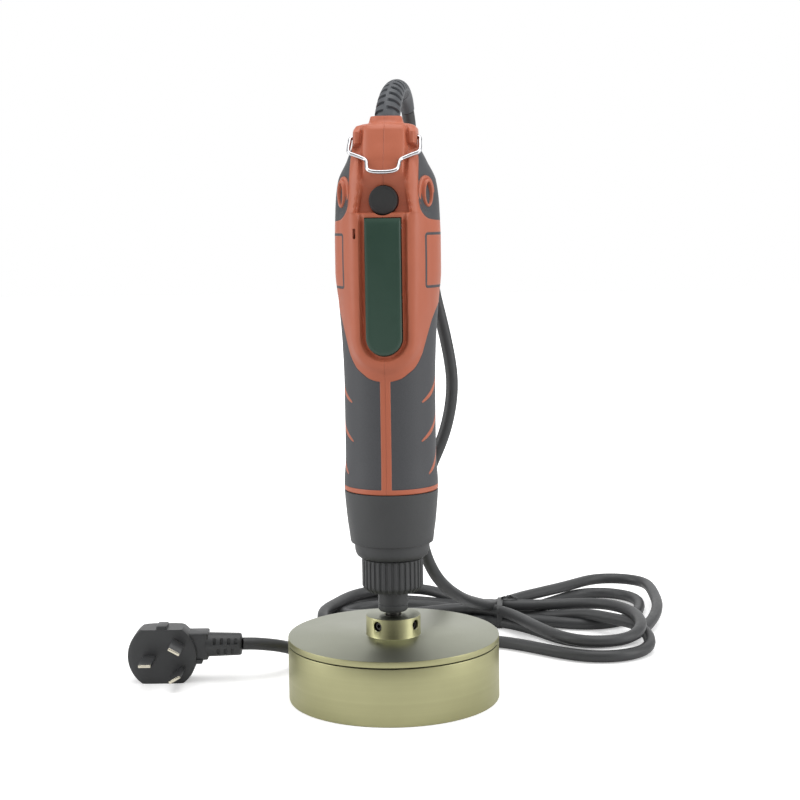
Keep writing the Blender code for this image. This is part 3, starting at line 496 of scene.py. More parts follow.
casingSet = {
    "columns": 104, "rowPitch": 0.62, "wall": 1.8, "seam": 0.03, "seamDip": 0.12,
    # height, half width, reach to the front, reach to the back
    "sections": ((100.2, 22.0, 22.0, 22.0), (103.2, 22.0, 21.9, 22.0), (116.2, 21.2, 21.1, 21.2),
        (148.2, 21.2, 21.3, 21.4), (170.2, 21.85, 22.6, 22.2), (188.2, 23.2, 23.8, 23.8),
        (202.2, 24.5, 24.2, 24.9), (216.2, 24.5, 23.3, 25.0), (226.2, 24.2, 21.6, 24.6),
        (233.2, 23.9, 18.8, 23.8), (243.2, 22.6, 18.0, 21.8), (252.7, 18.15, 16.2, 18.4),
        (260.2, 15.0, 13.0, 15.8), (266.2, 14.75, 10.6, 14.8), (268.0, 13.4, 9.5, 13.7)),
    # the cap's round shoulder, its top and the collar round the strain relief
    "cap": ((268.6, 12.3, 8.9, 12.6), (268.95, 11.0, 8.3, 11.8), (269.1, 9.8, 7.7, 11.2),
        (269.3, 8.5, 6.9, 10.9), (269.8, 7.95, 6.1, 10.5), (271.0, 7.6, 5.5, 10.1), (272.1, 7.3, 5.0, 9.8),
        (272.5, 7.05, 4.75, 9.6), (272.55, 6.8, 4.5, 9.35), (272.2, 6.6, 4.3, 9.1), (270.0, 6.6, 4.6, 8.7),
        (267.2, 6.9, 5.4, 8.2), (266.7, 9.5, 6.9, 10.0), (265.6, 12.4, 8.4, 12.6)),
    # how far forward the front stands at some distances from the middle, each height its own row
    "front": ((268.0, ((0, 9.5), (8.4, 8.9), (10.6, 6.9), (11.8, 6.2), (13.4, 3.4), (14.6, 1.5))),
              (266.6, ((0, 10.8), (8.8, 10.1), (10.4, 7.6), (11.6, 8.0), (13.6, 6.4), (14.9, 2.2))),
              (265.4, ((0, 11.2), (9.0, 10.5), (10.4, 7.9), (11.4, 9.8), (14.0, 9.2), (15.0, 4.2))),
              (260.0, ((0, 13.1), (9.3, 12.3), (10.6, 9.0), (11.4, 10.2), (14.1, 9.6), (15.2, 5.0))),
              (258.2, ((0, 13.9), (9.3, 13.0), (11.2, 9.0), (12.2, 8.4), (13.8, 7.4), (15.6, 4.5))),
              (252.0, ((0, 15.9), (8.7, 15.2), (10.1, 12.7), (11.7, 14.2), (13.6, 13.2), (16.8, 7.6))),
              (247.0, ((0, 17.3), (8.8, 16.4), (10.1, 14.6), (11.7, 16.7), (13.6, 15.6), (17.2, 11.4))),
              (244.6, ((0, 16.6), (9.0, 16.0), (10.2, 15.4), (11.7, 17.7), (13.7, 16.5), (17.4, 12.5))),
              (240.0, ((0, 15.3), (9.6, 15.2), (10.6, 17.2), (11.7, 18.9), (13.7, 17.8), (17.6, 13.3))),
              (234.0, ((0, 15.2), (10.8, 15.2), (11.8, 18.6), (12.7, 20.1), (14.2, 19.1), (18.0, 13.7))),
              (229.0, ((0, 15.8), (12.0, 15.8), (12.8, 19.8), (13.5, 20.9), (14.8, 20.1), (18.4, 14.7))),
              (228.2, ((0, 21.7), (8.7, 21.2), (10.2, 20.4), (12.0, 21.0), (14.5, 20.2), (18.6, 15.0))),
              (224.0, ((0, 22.4), (8.7, 20.9), (9.6, 19.7), (11.1, 21.9), (14.4, 20.8), (18.6, 16.0))),
              (202.0, ((0, 23.8), (8.7, 21.5), (9.6, 20.3), (11.1, 22.8), (14.4, 21.6), (18.4, 16.8))),
              (185.0, ((0, 23.3), (8.7, 21.2), (9.6, 20.0), (11.1, 22.5), (14.4, 21.3), (18.2, 15.7))),
              (172.4, ((0, 22.6), (8.7, 20.6), (9.6, 19.5), (11.1, 21.8), (14.3, 20.6), (17.6, 14.2)))),
    "leverRound": 172.4,      # centre height of the lever's round end
    "ridgeEnd": 153.0, "round": 22.5,      # how far from the axis a degree is turned into mm
    # ways through the wall: the controls' gap, the bail's ends, the inlets, the screws' wells, the lock slot
    "gap": 0.35, "bailBehind": -5.0, "bailDrop": 8.7, "bailWay": 1.3,
    "inletTurn": 60, "inletDrop": 34.3, "inletWay": (6.6, 8.3),
    "well": {"bore": 2.7, "wall": 1.0, "foot": 11.6, "sunk": 0.9},
    "lock": {"half": 0.6, "low": 217.6, "high": 221.6, "floor": -20.1, "aside": -13.0},
}

gripSet = {
    "band": 102.5, "stripe": 2.3,
    # lower grip's upper edge: degrees round from the front, height
    "edge": ((0, 152.2), (10, 152.7), (20, 153.8), (29, 156.0), (37, 158.2), (43.5, 161.4), (48.5, 165.0),
        (53, 169.4), (59, 174.6), (66, 179.8), (73, 183.2), (80, 185.4), (90, 187.2), (110, 188.6),
        (180, 189.4)),
    # shoulder grips' inner edge: height, distance from the middle
    "shoulder": ((224.8, 25.5), (225.3, 21.4), (226.3, 19.2), (228.2, 17.6), (230.6, 16.5), (235, 15.8),
        (247, 15.6), (252, 15.5), (257.2, 14.9)),
    "shoulderEnds": (224.8, 257.2),
    "frame": {"middle": 90, "halfTurn": 40.2, "height": 207.0, "halfHeight": 12.0, "line": 0.66,
              "radius": 1.2},
    # the orange slashes in the lower grip: from (degrees, height) to (degrees, height), half thickness
    "slashes": (((48.5, 142.0), (97, 155.5), 1.05), ((47.5, 124.0), (97, 138.5), 1.05),
                ((59.0, 108.4), (97, 121.5), 1.0)),
}


def between(table, at):
    # smooth curve through the rows of a table; rows run up or down
    if table[0][0] > table[-1][0]:
        table = table[::-1]
    at = min(max(at, table[0][0]), table[-1][0])
    last = len(table) - 1
    i = next(k for k in range(last) if at <= table[k + 1][0])
    slopes = []
    for k in (i, i + 1):
        a, b = max(k - 1, 0), min(k + 1, last)
        left = (table[k][1] - table[a][1]) / (table[k][0] - table[a][0]) if k > a else None
        right = (table[b][1] - table[k][1]) / (table[b][0] - table[k][0]) if b > k else None
        if left is None or right is None:
            slopes.append(left if right is None else right)
        else:
            slopes.append(0 if left * right <= 0 else 2 * left * right / (left + right))
    step = table[i + 1][0] - table[i][0]
    t = (at - table[i][0]) / step
    return (table[i][1] * (1 + 2 * t) * (1 - t) ** 2 + table[i + 1][1] * t * t * (3 - 2 * t)
            + step * (slopes[0] * t * (1 - t) ** 2 - slopes[1] * t * t * (1 - t)))


sectionTables = [[(row[0], row[k]) for row in casingSet["sections"]] for k in (1, 2, 3)]
sectionCache = {}


def section(height):
    key = round(height, 3)
    if key not in sectionCache:
        sectionCache[key] = tuple(between(table, height) for table in sectionTables)
    return sectionCache[key]


def plainFront(aside, height):
    half, front, back = section(height)
    return front * sqrt(max(0.0, 1 - (aside / half) ** 2))


def frontRow(height):
    # the two rows that a height lies between, mixed: distances from the middle and how much they add
    rows = casingSet["front"]
    height = min(max(height, rows[-1][0]), rows[0][0])
    i = next(k for k in range(len(rows) - 1) if height >= rows[k + 1][0])
    (highZ, high), (lowZ, low) = rows[i], rows[i + 1]
    t = (height - lowZ) / (highZ - lowZ)
    mixed = []
    for (x1, y1), (x0, y0) in zip(high, low):
        extra0, extra1 = y0 - plainFront(x0, lowZ), y1 - plainFront(x1, highZ)
        mixed.append((x0 + (x1 - x0) * t, extra0 * (1 - t) + extra1 * t))
    return mixed + [(mixed[-1][0] + 2.4, 0.0)]


rowCache = {}


def frontExtra(aside, height):
    middle, end = casingSet["leverRound"], casingSet["ridgeEnd"]
    reach = abs(aside)
    fade = 1.0
    if height < middle:
        reach = hypot(aside, height - middle)
        fade = min(1.0, max(0.0, (height - end) / (middle - end) * 1.6))
        height = middle
    key = round(height, 3)
    if key not in rowCache:
        rowCache[key] = frontRow(height)
    row = rowCache[key]
    return 0.0 if reach >= row[-1][0] else between(row, reach) * fade


def casingPoint(turn, height):
    # turn is measured from the front, 0 to pi on the right-hand side
    half, front, back = section(height)
    x = half * sin(turn)
    if turn > pi / 2:
        return x, back * -cos(turn)
    return x, -front * cos(turn) - frontExtra(x, height)


def gripValue(x, y, height):
    # millimetres inside (+) or outside (-) the dark grips; the shell stays orange where it is below zero
    rules = gripSet
    aside = abs(x)
    turn = degrees(atan2(aside, -y))
    around = casingSet["round"] * pi / 180      # mm for a degree round the shell
    slope = (between(rules["edge"], turn + 0.5) - between(rules["edge"], turn - 0.5)) / around
    lower = (between(rules["edge"], turn) - height) / sqrt(1 + slope * slope)
    lower = min(lower, height - rules["band"], aside - rules["stripe"])
    if lower > -3:
        for (turnA, highA), (turnB, highB), thick in rules["slashes"]:
            run, rise = (turnB - turnA) * around, highB - highA
            along = ((turn - turnA) * around * run + (height - highA) * rise) / (run * run + rise * rise)
            bow = 1.4 * sin(pi * min(max(along, 0), 1))
            off = ((height - highA) * run - (turn - turnA) * around * rise) / hypot(run, rise) + bow
            room = thick * sqrt(sin(pi * along)) if 0 < along < 1 else -1
            lower = min(lower, abs(off) - room)
    low, high = rules["shoulderEnds"]
    upper = -5.0
    if low - 2 < height < high + 2:
        rim = between(rules["shoulder"], height)
        lean = (between(rules["shoulder"], height + 0.3) - between(rules["shoulder"], height - 0.3)) / 0.6
        upper = min((aside - rim) / sqrt(1 + lean * lean), high - height, height - low)
    label = rules["frame"]
    a = abs(turn - label["middle"]) * around - label["halfTurn"] * around + label["radius"]
    b = abs(height - label["height"]) - label["halfHeight"] + label["radius"]
    edge = hypot(max(a, 0), max(b, 0)) + min(max(a, b), 0) - label["radius"]
    return max(lower, upper, label["line"] - abs(edge))


def casingRows():
    # heights of the outer wall, close together where a step is
    heights = []
    z = casingLow
    while z < 268.0:
        heights.append(z)
        z += casingSet["rowPitch"]
    label = gripSet["frame"]
    exact = [268.0, 228.2, 229.0, 228.6, 258.2, 260.0, gripSet["band"], casingLow + 0.4]
    for side in (-1, 1):
        exact += [label["height"] + side * (label["halfHeight"] + step) for step in (-0.75, 0, 0.75)]
    for value in exact:
        heights = [h for h in heights if abs(h - value) > 0.32 or h == casingLow] + [value]
    return sorted(heights)


def casingTurns():
    # finer round the front, where the ridges are
    count = casingSet["columns"]
    turns = []
    for i in range(count + 1):
        t = i / count
        turns.append(pi * (0.62 * t + 0.38 * t ** 2.6))
    label = gripSet["frame"]
    around = casingSet["round"] * pi / 180
    for side in (-1, 1):
        for step in (-0.75, 0, 0.75):
            value = radians(label["middle"] + side * label["halfTurn"] + step / around)
            turns = [a for a in turns if abs(a - value) > 0.010 or a in (0, pi)] + [value]
    return sorted(turns)


def makeCasingHalf(name, side):
    rows, turns = casingRows(), casingTurns()
    wall, seam = casingSet["wall"], casingSet["seam"]
    outer, inner = [], []
    for height in rows:
        outerRow, innerRow = [], []
        for k, turn in enumerate(turns):
            x, y = casingPoint(turn, height)
            if k in (0, len(turns) - 1):
                y *= 1 - casingSet["seamDip"] / abs(y)
            x = max(x, seam if k in (0, len(turns) - 1) else seam + 0.22)
            lip = 0.35 if height < casingLow + 0.3 else 0.0
            reach = hypot(x, y)
            share, innerShare = 1 - lip / reach, 1 - wall / reach
            outerRow.append((x * share if 0 < k < len(turns) - 1 else x, y * share, height))
            innerRow.append((max(x * innerShare, seam), y * innerShare, height))
        for ring in (outerRow, innerRow):
            for k in (0, -1):
                ring[k] = (seam, *ring[k][1:])
        outer.append(outerRow)
        inner.append(innerRow)
    cap = []
    for height, half, front, back in casingSet["cap"]:
        ring = [(max(half * sin(t), seam), -(front if t < pi / 2 else back) * cos(t), height) for t in turns]
        ring[0], ring[-1] = (seam, *ring[0][1:]), (seam, *ring[-1][1:])
        cap.append(ring)
    inner = [ring for ring in inner if ring[0][2] < 265.0]
    rings = outer + cap + inner[::-1]
    deselect()
    bpy.ops.mesh.primitive_grid_add(x_subdivisions=len(turns) - 1, y_subdivisions=len(rings), size=1)
    half = newestPiece(name)
    rings.append(rings[0])
    values = []
    for vertex, place in zip(half.data.vertices, (spot for ring in rings for spot in ring)):
        x, y, z = place
        vertex.co = Vector((side * x, y, z)) * mm
        values.append(gripValue(x, y, z))
    grip = half.data.attributes.new("grip", "FLOAT", "POINT")
    grip.data.foreach_set("value", values)
    closeUp(half)
    return half


def capsuleCutter(name, halfWidth, low, high, near, far, x=0.0):
    # a slot cutter with a round lower end, pushed in along Y; heights are of its straight part
    deselect()
    bpy.ops.mesh.primitive_circle_add(vertices=64, radius=halfWidth * mm, fill_type="NGON",
                                      rotation=(pi / 2, 0, 0), location=Vector((x, near, low)) * mm)
    cutter = applyPlace(newestPiece(name))
    for vertex in cutter.data.vertices:
        if vertex.co.z > low * mm + 1e-6:
            vertex.co.z = high * mm
    editAll(cutter)
    bpy.ops.mesh.dissolve_limited(angle_limit=radians(1))
    bpy.ops.mesh.extrude_region_move(TRANSFORM_OT_translate={"value": (0, (far - near) * mm, 0)})
    closeUp(cutter, capped=False)
    return cutter


def makeCasing():
    s, well, lock = casingSet, casingSet["well"], casingSet["lock"]
    leverHigh = nodeBox("start_lever")[1]
    buttonLow, buttonHigh = nodeBox("direction_button")
    buttonMiddle = (buttonLow + buttonHigh) / 2
    buttonWay = buttonHigh.x + 0.3
    screws = [sum(nodeBox(f"casing_screw_{i}"), Vector()) / 2 for i in (1, 2, 3)]
    for word, side in (("right", 1), ("left", -1)):
        half = makeCasingHalf(f"shell_{word}", side)
        cutters = [capsuleCutter("lever_way", leverHigh.x + s["gap"], s["leverRound"], leverHigh.z + s["gap"],
                                 -30, -12)]
        button = turnedPiece("button_way", [(buttonWay, 0), (buttonWay, 20)], 64)
        cutters.append(turnTo(button, "Y", (0, -30, buttonMiddle.z)))
        bail = turnedPiece("bail_way", [(s["bailWay"], 0), (s["bailWay"], 40)], 24)
        cutters.append(turnTo(bail, "X", (-20, s["bailBehind"], casingHigh - s["bailDrop"])))
        inlet = turnedPiece("inlet_way", [(1, 0), (1, 20)], 64)
        for vertex in inlet.data.vertices:
            vertex.co.x, vertex.co.y = vertex.co.y * s["inletWay"][0], vertex.co.x * s["inletWay"][1]
        inlet.matrix_world = (Matrix.Rotation(radians(side * s["inletTurn"]), 4, "Z") @ Matrix.Translation(
            Vector((0, -12, casingHigh - s["inletDrop"])) * mm) @ Euler((pi / 2, 0, 0)).to_matrix().to_4x4())
        cutters.append(applyPlace(inlet))
        if side > 0:
            for i, middle in enumerate(screws):
                way = turnedPiece(f"screw_way_{i}", [(well["bore"], 0), (well["bore"], 20)], 40)
                cutters.append(turnTo(way, "X", (12.5, middle.y, middle.z)))
        else:
            cutters.append(capsuleCutter("lock_slot", lock["half"], lock["low"], lock["high"], -30,
                                         lock["floor"], lock["aside"]))
        for cutter in cutters:
            cutBy(half, cutter)
        if side > 0:
            # a walled well round each screw, its outer end following the shell
            for i, middle in enumerate(screws):
                near, far = well["bore"], well["bore"] + well["wall"]
                tube = turnedPiece(f"well_{i}", [(near, 0), (far, 0), (far, 8), (near, 8)], 40, "joined")
                turnTo(tube, "X", (well["foot"], middle.y, middle.z))
                for vertex in tube.data.vertices:
                    if vertex.co.x > 0.015:
                        y, z = vertex.co.y / mm, vertex.co.z / mm
                        wide, front, back = section(z)
                        vertex.co.x = (wide * sqrt(1 - (y / back) ** 2) - well["sunk"]) * mm
                half = joined(f"shell_{word}", half, tube)
        finishPiece(half, 38, shellFinish, "orange_plastic", "housing", f"casing_{word}")
        print("shell", word, len(half.data.polygons), "faces")


def makeShellFinish():
    look = Finish("shell_and_grips", Specular_IOR_Level=0.45)
    value = look.node("ShaderNodeAttribute", attribute_name="grip", attribute_type="GEOMETRY").outputs["Fac"]
    mask = look.spread(value, 0.03, 0.13, 0, 1)
    cloud = look.noise(38, 4, 0.6)
    fine = look.noise(2600, 2, 0.6)
    rubberGrain = look.noise(1500, 3, 0.65)
    orange = paint(191, 106, 78)
    grey = paint(74, 75, 78)
    shell = look.blended(look.spread(cloud, 0.3, 0.7, 0, 1), shaded(orange, 0.965), shaded(orange, 1.035))
    rubber = look.blended(look.spread(rubberGrain, 0.3, 0.7, 0, 1), shaded(grey, 0.9), shaded(grey, 1.08))
    look.colour(look.blended(mask, shell, rubber))
    smooth = look.spread(cloud, 0.3, 0.7, 0.40, 0.5)
    dull = look.spread(rubberGrain, 0.3, 0.7, 0.5, 0.62)
    look.roughness(look.node("ShaderNodeMix", {0: mask, 2: smooth, 3: dull}).outputs[0])
    # a fine joint line where the two plastics meet, and each one's own grain
    joint = look.spread(look.maths("ABSOLUTE", look.maths("SUBTRACT", value, 0.08)), 0.0, 0.35, 0, 1)
    softer = look.maths("MULTIPLY", fine, 0.35)
    grain = look.node("ShaderNodeMix", {0: mask, 2: softer, 3: rubberGrain}).outputs[0]
    first = look.bump(joint, 0.22)
    look.bump(grain, 0.035, under=first)
    return look.material


shellFinish = makeShellFinish()
makeCasing()


# capping head: cup, plate with its hub, liner, pad and screws

headSet = {"bore": 45.7, "flangeBore": 33.0, "flange": (20.0, 23.7), "spigot": 45.4, "spigotLow": 24.0,
           "hubRadius": 12.9, "bitBore": 3.8, "boreLow": 26.0, "screwCircle": 39.35, "screwTurn": 97,
           "screwHole": 2.2, "screwRadius": 1.9, "setTurn": -120, "setDrop": 3.7, "setSunk": 1.2}


def screwSpot(i):
    turn = radians(headSet["screwTurn"] + 120 * i)
    return Vector((headSet["screwCircle"] * cos(turn), headSet["screwCircle"] * sin(turn), 0))


def screwHoles(piece, low, high):
    for i in range(3):
        cutter = turnedPiece("hole", [(headSet["screwHole"], low), (headSet["screwHole"], high)], 32)
        cutBy(piece, turnTo(cutter, "Z", screwSpot(i)))


def setPlace(i):
    # from the Z axis to the hub's radial hole number i
    return (Matrix.Translation(Vector((0, 0, hubTop - headSet["setDrop"])) * mm)
            @ Matrix.Rotation(radians(headSet["setTurn"] + 90 * i), 4, "Z") @ Matrix.Rotation(pi / 2, 4, "Y"))


def makeCup():
    s, r = headSet, headRadius
    low, high = s["flange"]
    cup = turnedPiece("capping_cup", [
        (s["bore"], 0.5), (s["bore"] + 0.5, 0), (r - 0.6, 0), (r - 0.15, 0.18), (r, 0.6), (r, cupTop - 0.45),
        (r - 0.1, cupTop - 0.12), (r - 0.42, cupTop), (s["bore"] + 0.3, cupTop), (s["bore"], cupTop - 0.3),
        (s["bore"], high), (s["flangeBore"] + 0.4, high), (s["flangeBore"], high - 0.4),
        (s["flangeBore"], low + 0.4), (s["flangeBore"] + 0.4, low), (s["bore"], low)], 192, "joined")
    screwHoles(cup, low - 1, high + 1)
    finishPiece(cup, 30, champagneHead, "champagne_aluminium", "spindle", "head_cup")


def makeTopPlate():
    s, r, hub = headSet, headRadius, headSet["hubRadius"]
    plate = turnedPiece("top_plate", [
        (s["bitBore"], s["boreLow"]), (s["bitBore"], hubTop - 0.4), (s["bitBore"] + 0.4, hubTop),
        (hub - 0.4, hubTop), (hub - 0.1, hubTop - 0.12), (hub, hubTop - 0.4), (hub, plateHigh + 0.35),
        (hub + 0.12, plateHigh + 0.1), (hub + 0.4, plateHigh), (r - 0.45, plateHigh),
        (r - 0.1, plateHigh - 0.14), (r, plateHigh - 0.5), (r, plateLow + 0.3), (r - 0.3, plateLow),
        (s["spigot"], plateLow),
        (s["spigot"], s["spigotLow"] + 0.3), (s["spigot"] - 0.3, s["spigotLow"])], 192)
    for i in range(4):
        hole = turnedPiece("set_hole", [(2.2, 3), (2.2, hub - 0.35), (2.75, hub + 0.4), (2.75, hub + 2)], 40)
        hole.matrix_world = setPlace(i)
        cutBy(plate, hole)
    screwHoles(plate, s["spigotLow"] - 1, plateHigh - 0.85)
    finishPiece(plate, 30, champagneHead, "champagne_aluminium", "spindle", "head_plate")


def thread(z, end, pitch, steps, root):
    # rings of a screw's thread: along the crest, then down to the root
    crest = headSet["screwRadius"]
    rings = []
    while z < end - 0.9:
        rings += [(crest, z + steps[0]), (crest, z + steps[1]), (root, z + steps[2])]
        z += pitch
    return rings


def makeSetScrews():
    # one screw with its thread and hexagon socket, and three copies
    s = headSet
    start, end = s["bitBore"], s["hubRadius"] - s["setSunk"]
    rings = [(1.2, start), (1.6, start + 0.5)] + thread(start + 0.5, end, 0.5, (0.2, 0.3, 0.5), 1.68)
    rings += [(s["screwRadius"], end - 0.25), (1.65, end)]
    screw = turnedPiece("set_screw", rings, 32)
    socket = turnedPiece("socket", [(1.05, end - 1.6), (1.05, end + 1)], 6)
    cutBy(screw, socket)
    for i, one in enumerate(repeated(screw, "set_screw", 4)):
        one.matrix_world = setPlace(i)
        finishPiece(one, 35, darkSteel, "dark_steel", "spindle", f"hub_set_screw_{i + 1}")


def makePlateScrews():
    low, high = (corner.z for corner in nodeBox("plate_screw_1"))
    rings = [(0.6, low + 0.15), (2.4, low), (3.15, low + 0.35), (3.5, low + 1.1), (3.5, low + 2.3),
             (3.3, low + 2.5), (1.9, low + 2.5)]
    rings += thread(low + 3.2, high, 0.7, (0, 0.15, 0.4), 1.62)
    rings += [(1.75, high - 0.3), (1.3, high)]
    screw = turnedPiece("lid_screw", rings, 40)
    for x, y in ((2.1, 0.4), (0.4, 2.1)):
        cutBy(screw, plainBlock("cross", (-x, -y, low - 0.7), (x, y, low + 1.3)))
    for i, one in enumerate(repeated(screw, "lid_screw", 3)):
        one.location = screwSpot(i) * mm
        finishPiece(one, 35, brightSteel, "bright_steel", "spindle", f"plate_screw_{i + 1}")


linerSet = {"ribs": 6, "bore": 41.35, "taper": 2.0, "ribDeep": 0.45}


def makeLiner():
    s = linerSet
    low, high = (corner.z for corner in nodeBox("head_liner"))
    rings = [(45.4, high - 0.5), (45.4, low + 0.6), (44.8, low), (42.2, low), (41.5, low + 0.5)]
    for i in range(s["ribs"]):
        # shallow gripping ribs inside
        z = low + 1.2 + (high - low - 2.4) * i / s["ribs"]
        inner, deep = s["bore"] - s["taper"] * (z - low) / (high - low), s["ribDeep"]
        rings += [(inner, z), (inner + 0.02, z + 1.0),
                  (inner + deep, z + 1.3), (inner + deep - 0.03, z + 1.8)]
    rings += [(39.6, high - 0.5), (40.1, high), (44.9, high)]
    liner = turnedPiece("rubber_liner", rings, 160, "joined")
    finishPiece(liner, 50, linerRubber, "liner_rubber", "spindle", "head_liner")
    low, high = (corner.z for corner in nodeBox("lid_pad"))
    pad = turnedPiece("rubber_pad", [
        (4, low + 0.9), (26, low + 0.9), (27, low + 0.5), (28, low), (31.6, low), (32.4, low + 0.3),
        (32.7, low + 1.0), (32.7, high - 0.5), (32.2, high)], 144)
    finishPiece(pad, 35, linerRubber, "liner_rubber", "spindle", "lid_pad")


makeCup()
makeTopPlate()
makeSetScrews()
makePlateScrews()
makeLiner()
print("capping head is turned")


# sleeve, torque ring and nose

ringSet = {"radius": 14.45, "ribs": 32, "groove": 0.65, "bore": 12.3, "floor": 2.6, "sleeveBore": 7.45}


def makeSleeve():
    r = nodeBox("bit_sleeve")[1].x
    sleeve = turnedPiece("quick_sleeve", [
        (r - 1.35, sleeveLow + 0.3), (r - 1.1, sleeveLow), (r - 0.75, sleeveLow), (r - 0.1, sleeveLow + 0.75),
        (r, sleeveLow + 1.0), (r, sleeveLow + 3.0), (r - 0.3, sleeveLow + 3.2), (r - 0.3, sleeveLow + 3.7),
        (r, sleeveLow + 3.9), (r, sleeveHigh - 0.4), (r - 0.4, sleeveHigh), (r - 1.35, sleeveHigh)],
        96, "joined")
    finishPiece(sleeve, 30, blackMoulding, "black_plastic", "sleeve", "bit_sleeve")


def makeTorqueRing():
    s, low, high = ringSet, ringLow, noseHigh - 32.6      # its upper rim runs up to the nose
    r = s["radius"]
    ring = turnedPiece("clutch_ring", [
        (s["sleeveBore"], low + 0.3), (s["sleeveBore"] + 0.3, low), (r - 2.3, low), (r - 1.6, low + 0.5),
        (r - 0.25, low + 2.0), (r, low + 2.6), (r, low + 4), (r, high - 1.6), (r, high - 1.1),
        (r - 0.05, high - 0.3), (r - 0.4, high), (s["bore"], high), (s["bore"], low + s["floor"]),
        (s["sleeveBore"], low + s["floor"])],
        s["ribs"] * 12, "joined")
    # grip grooves run from the lower chamfer almost to the top
    for vertex in ring.data.vertices:
        across, height = hypot(vertex.co.x, vertex.co.y) / mm, vertex.co.z / mm
        if across > s["bore"] + 0.4 and low + 0.3 < height < high - 0.9:
            phase = (atan2(vertex.co.y, vertex.co.x) * s["ribs"] / (2 * pi)) % 1
            dip = min(1.0, max(0.0, (0.27 - abs(phase - 0.5)) / 0.11))
            share = 1 - s["groove"] * dip / across
            vertex.co.x, vertex.co.y = vertex.co.x * share, vertex.co.y * share
    finishPiece(ring, 28, blackMoulding, "black_plastic", "torque_ring", "torque_ring")


def makeNose():
    top = noseHigh
    low = top - 32.3
    nose = turnedPiece("nose_housing", [
        (18.7, casingLow + 4), (18.7, top), (21.7, top), (22, top - 0.3), (21.65, top - 5.6),
        (21.2, top - 10.4), (20.72, top - 15.2), (20.05, top - 20.0), (19.55, top - 24.2),
        (19.35, top - 24.75), (18.9, top - 24.95), (17.9, top - 25.0), (17.72, top - 25.2),
        (17.6, low + 4.2), (17.3, low + 2.6), (16.6, low + 1.2),
        (15.6, low + 0.35), (14.6, low), (12.0, low), (12.0, ringLow + 3.3), (11.6, ringLow + 2.9),
        (9.6, ringLow + 2.9), (9.6, low + 6.9), (6.5, low + 6.9), (6.5, low + 8.4), (11.3, low + 8.4),
        (11.3, low + 16.1), (17.37, low + 16.1), (17.37, casingLow + 4)], 160, "joined")
    finishPiece(nose, 28, blackMoulding, "black_plastic", "housing", "nose_cone")


makeSleeve()
makeTorqueRing()
makeNose()
print("nose and ring are turned")


# start lever, direction button and hanging bail

leverSet = {"deep": 4.0, "rim": 0.95, "drawn": 1.5,
            # how far forward and how far in, three steps round the face
            "bevels": ((-0.55, 0.45), (-0.3, 0.75), (-0.05, 0.5)),
            "pin": 1.5, "pinBehind": 6.4, "pinDrop": 4}


def makeLever():
    s = leverSet
    low, high = nodeBox("start_lever")
    half, front = high.x, low.y
    lever = capsuleCutter("lever", half, casingSet["leverRound"] + 0.05, high.z,
                          front + s["deep"], front + 0.9)
    editAll(lever)
    bpy.ops.mesh.select_all(action="DESELECT")
    leaveEdit()
    face = min(lever.data.polygons, key=lambda polygon: polygon.center.y)
    face.select = True
    bpy.context.view_layer.objects.active = lever
    bpy.ops.object.mode_set(mode="EDIT")
    for dip, inset in s["bevels"]:
        bpy.ops.mesh.inset(thickness=inset * mm)
        bpy.ops.transform.translate(value=(0, dip * mm, 0))
    leaveEdit()
    for vertex in lever.data.vertices:
        # the top bevel is drawn down further the nearer it lies to the face
        depth = min(1.0, max(0.0, (front + s["rim"] - vertex.co.y / mm) / s["rim"]))
        if vertex.co.z > (high.z - 8) * mm:
            vertex.co.z -= s["drawn"] * depth * mm
    eye = plainBlock("lever_eye", (1.5 - half, front + 3.5, high.z - 6.6),
                     (half - 1.5, front + 8.8, high.z - 1.4), 0.6)
    cutBy(lever, eye, "UNION")
    bore = turnedPiece("pin_bore", [(s["pin"], 0), (s["pin"], 30)], 32)
    cutBy(lever, turnTo(bore, "X", (-15, front + s["pinBehind"], high.z - s["pinDrop"])))
    finishPiece(lever, 24, leverPlastic, "green_plastic", "lever", "start_lever")


def makeButton():
    low, high = nodeBox("direction_button")
    r = high.x
    button = turnedPiece("button", [(1.5, 0.12), (4.4, 0.06), (5.3, 0.0), (r - 0.5, 0.05), (r - 0.15, 0.2),
                                    (r, 0.55), (r, 3.6), (r - 0.3, 3.9)], 96)
    turnTo(button, "Y", (0, low.y, (low.z + high.z) / 2))
    finishPiece(button, 30, buttonPlastic, "black_plastic", "button", "direction_button")


bailSet = {"wire": 0.9, "hang": radians(45),
           # distance from the middle, reach from the pivot along the wire's hanging plane
           "half": ((11.6, 0), (14.3, 0), (15.4, 0.25), (16.0, 1.2), (16.05, 2.8), (16.3, 7.6),
            (16.15, 9.0), (15.3, 10.3), (13.6, 11.2), (9.5, 13.6), (8.1, 14.7), (7.5, 16.2), (7.1, 19.6),
            (6.5, 21.1), (5.1, 22.1), (2.8, 22.6))}


def makeBail():
    s = bailSet
    forward, down = sin(s["hang"]), cos(s["hang"])
    flat = [(-x, reach) for x, reach in s["half"]] + [(0, 22.75)] + list(s["half"][::-1])
    places = [Vector((x, casingSet["bailBehind"] - reach * forward,
                      casingHigh - casingSet["bailDrop"] - reach * down)) * mm for x, reach in flat]
    bail = meshed(bentWire("hanging_bail", places, s["wire"], 6))
    finishPiece(bail, 60, brightWire, "bright_steel", "bail", "bail")


makeLever()
makeButton()
makeBail()
print("controls are in")


# air inlets at the shoulders

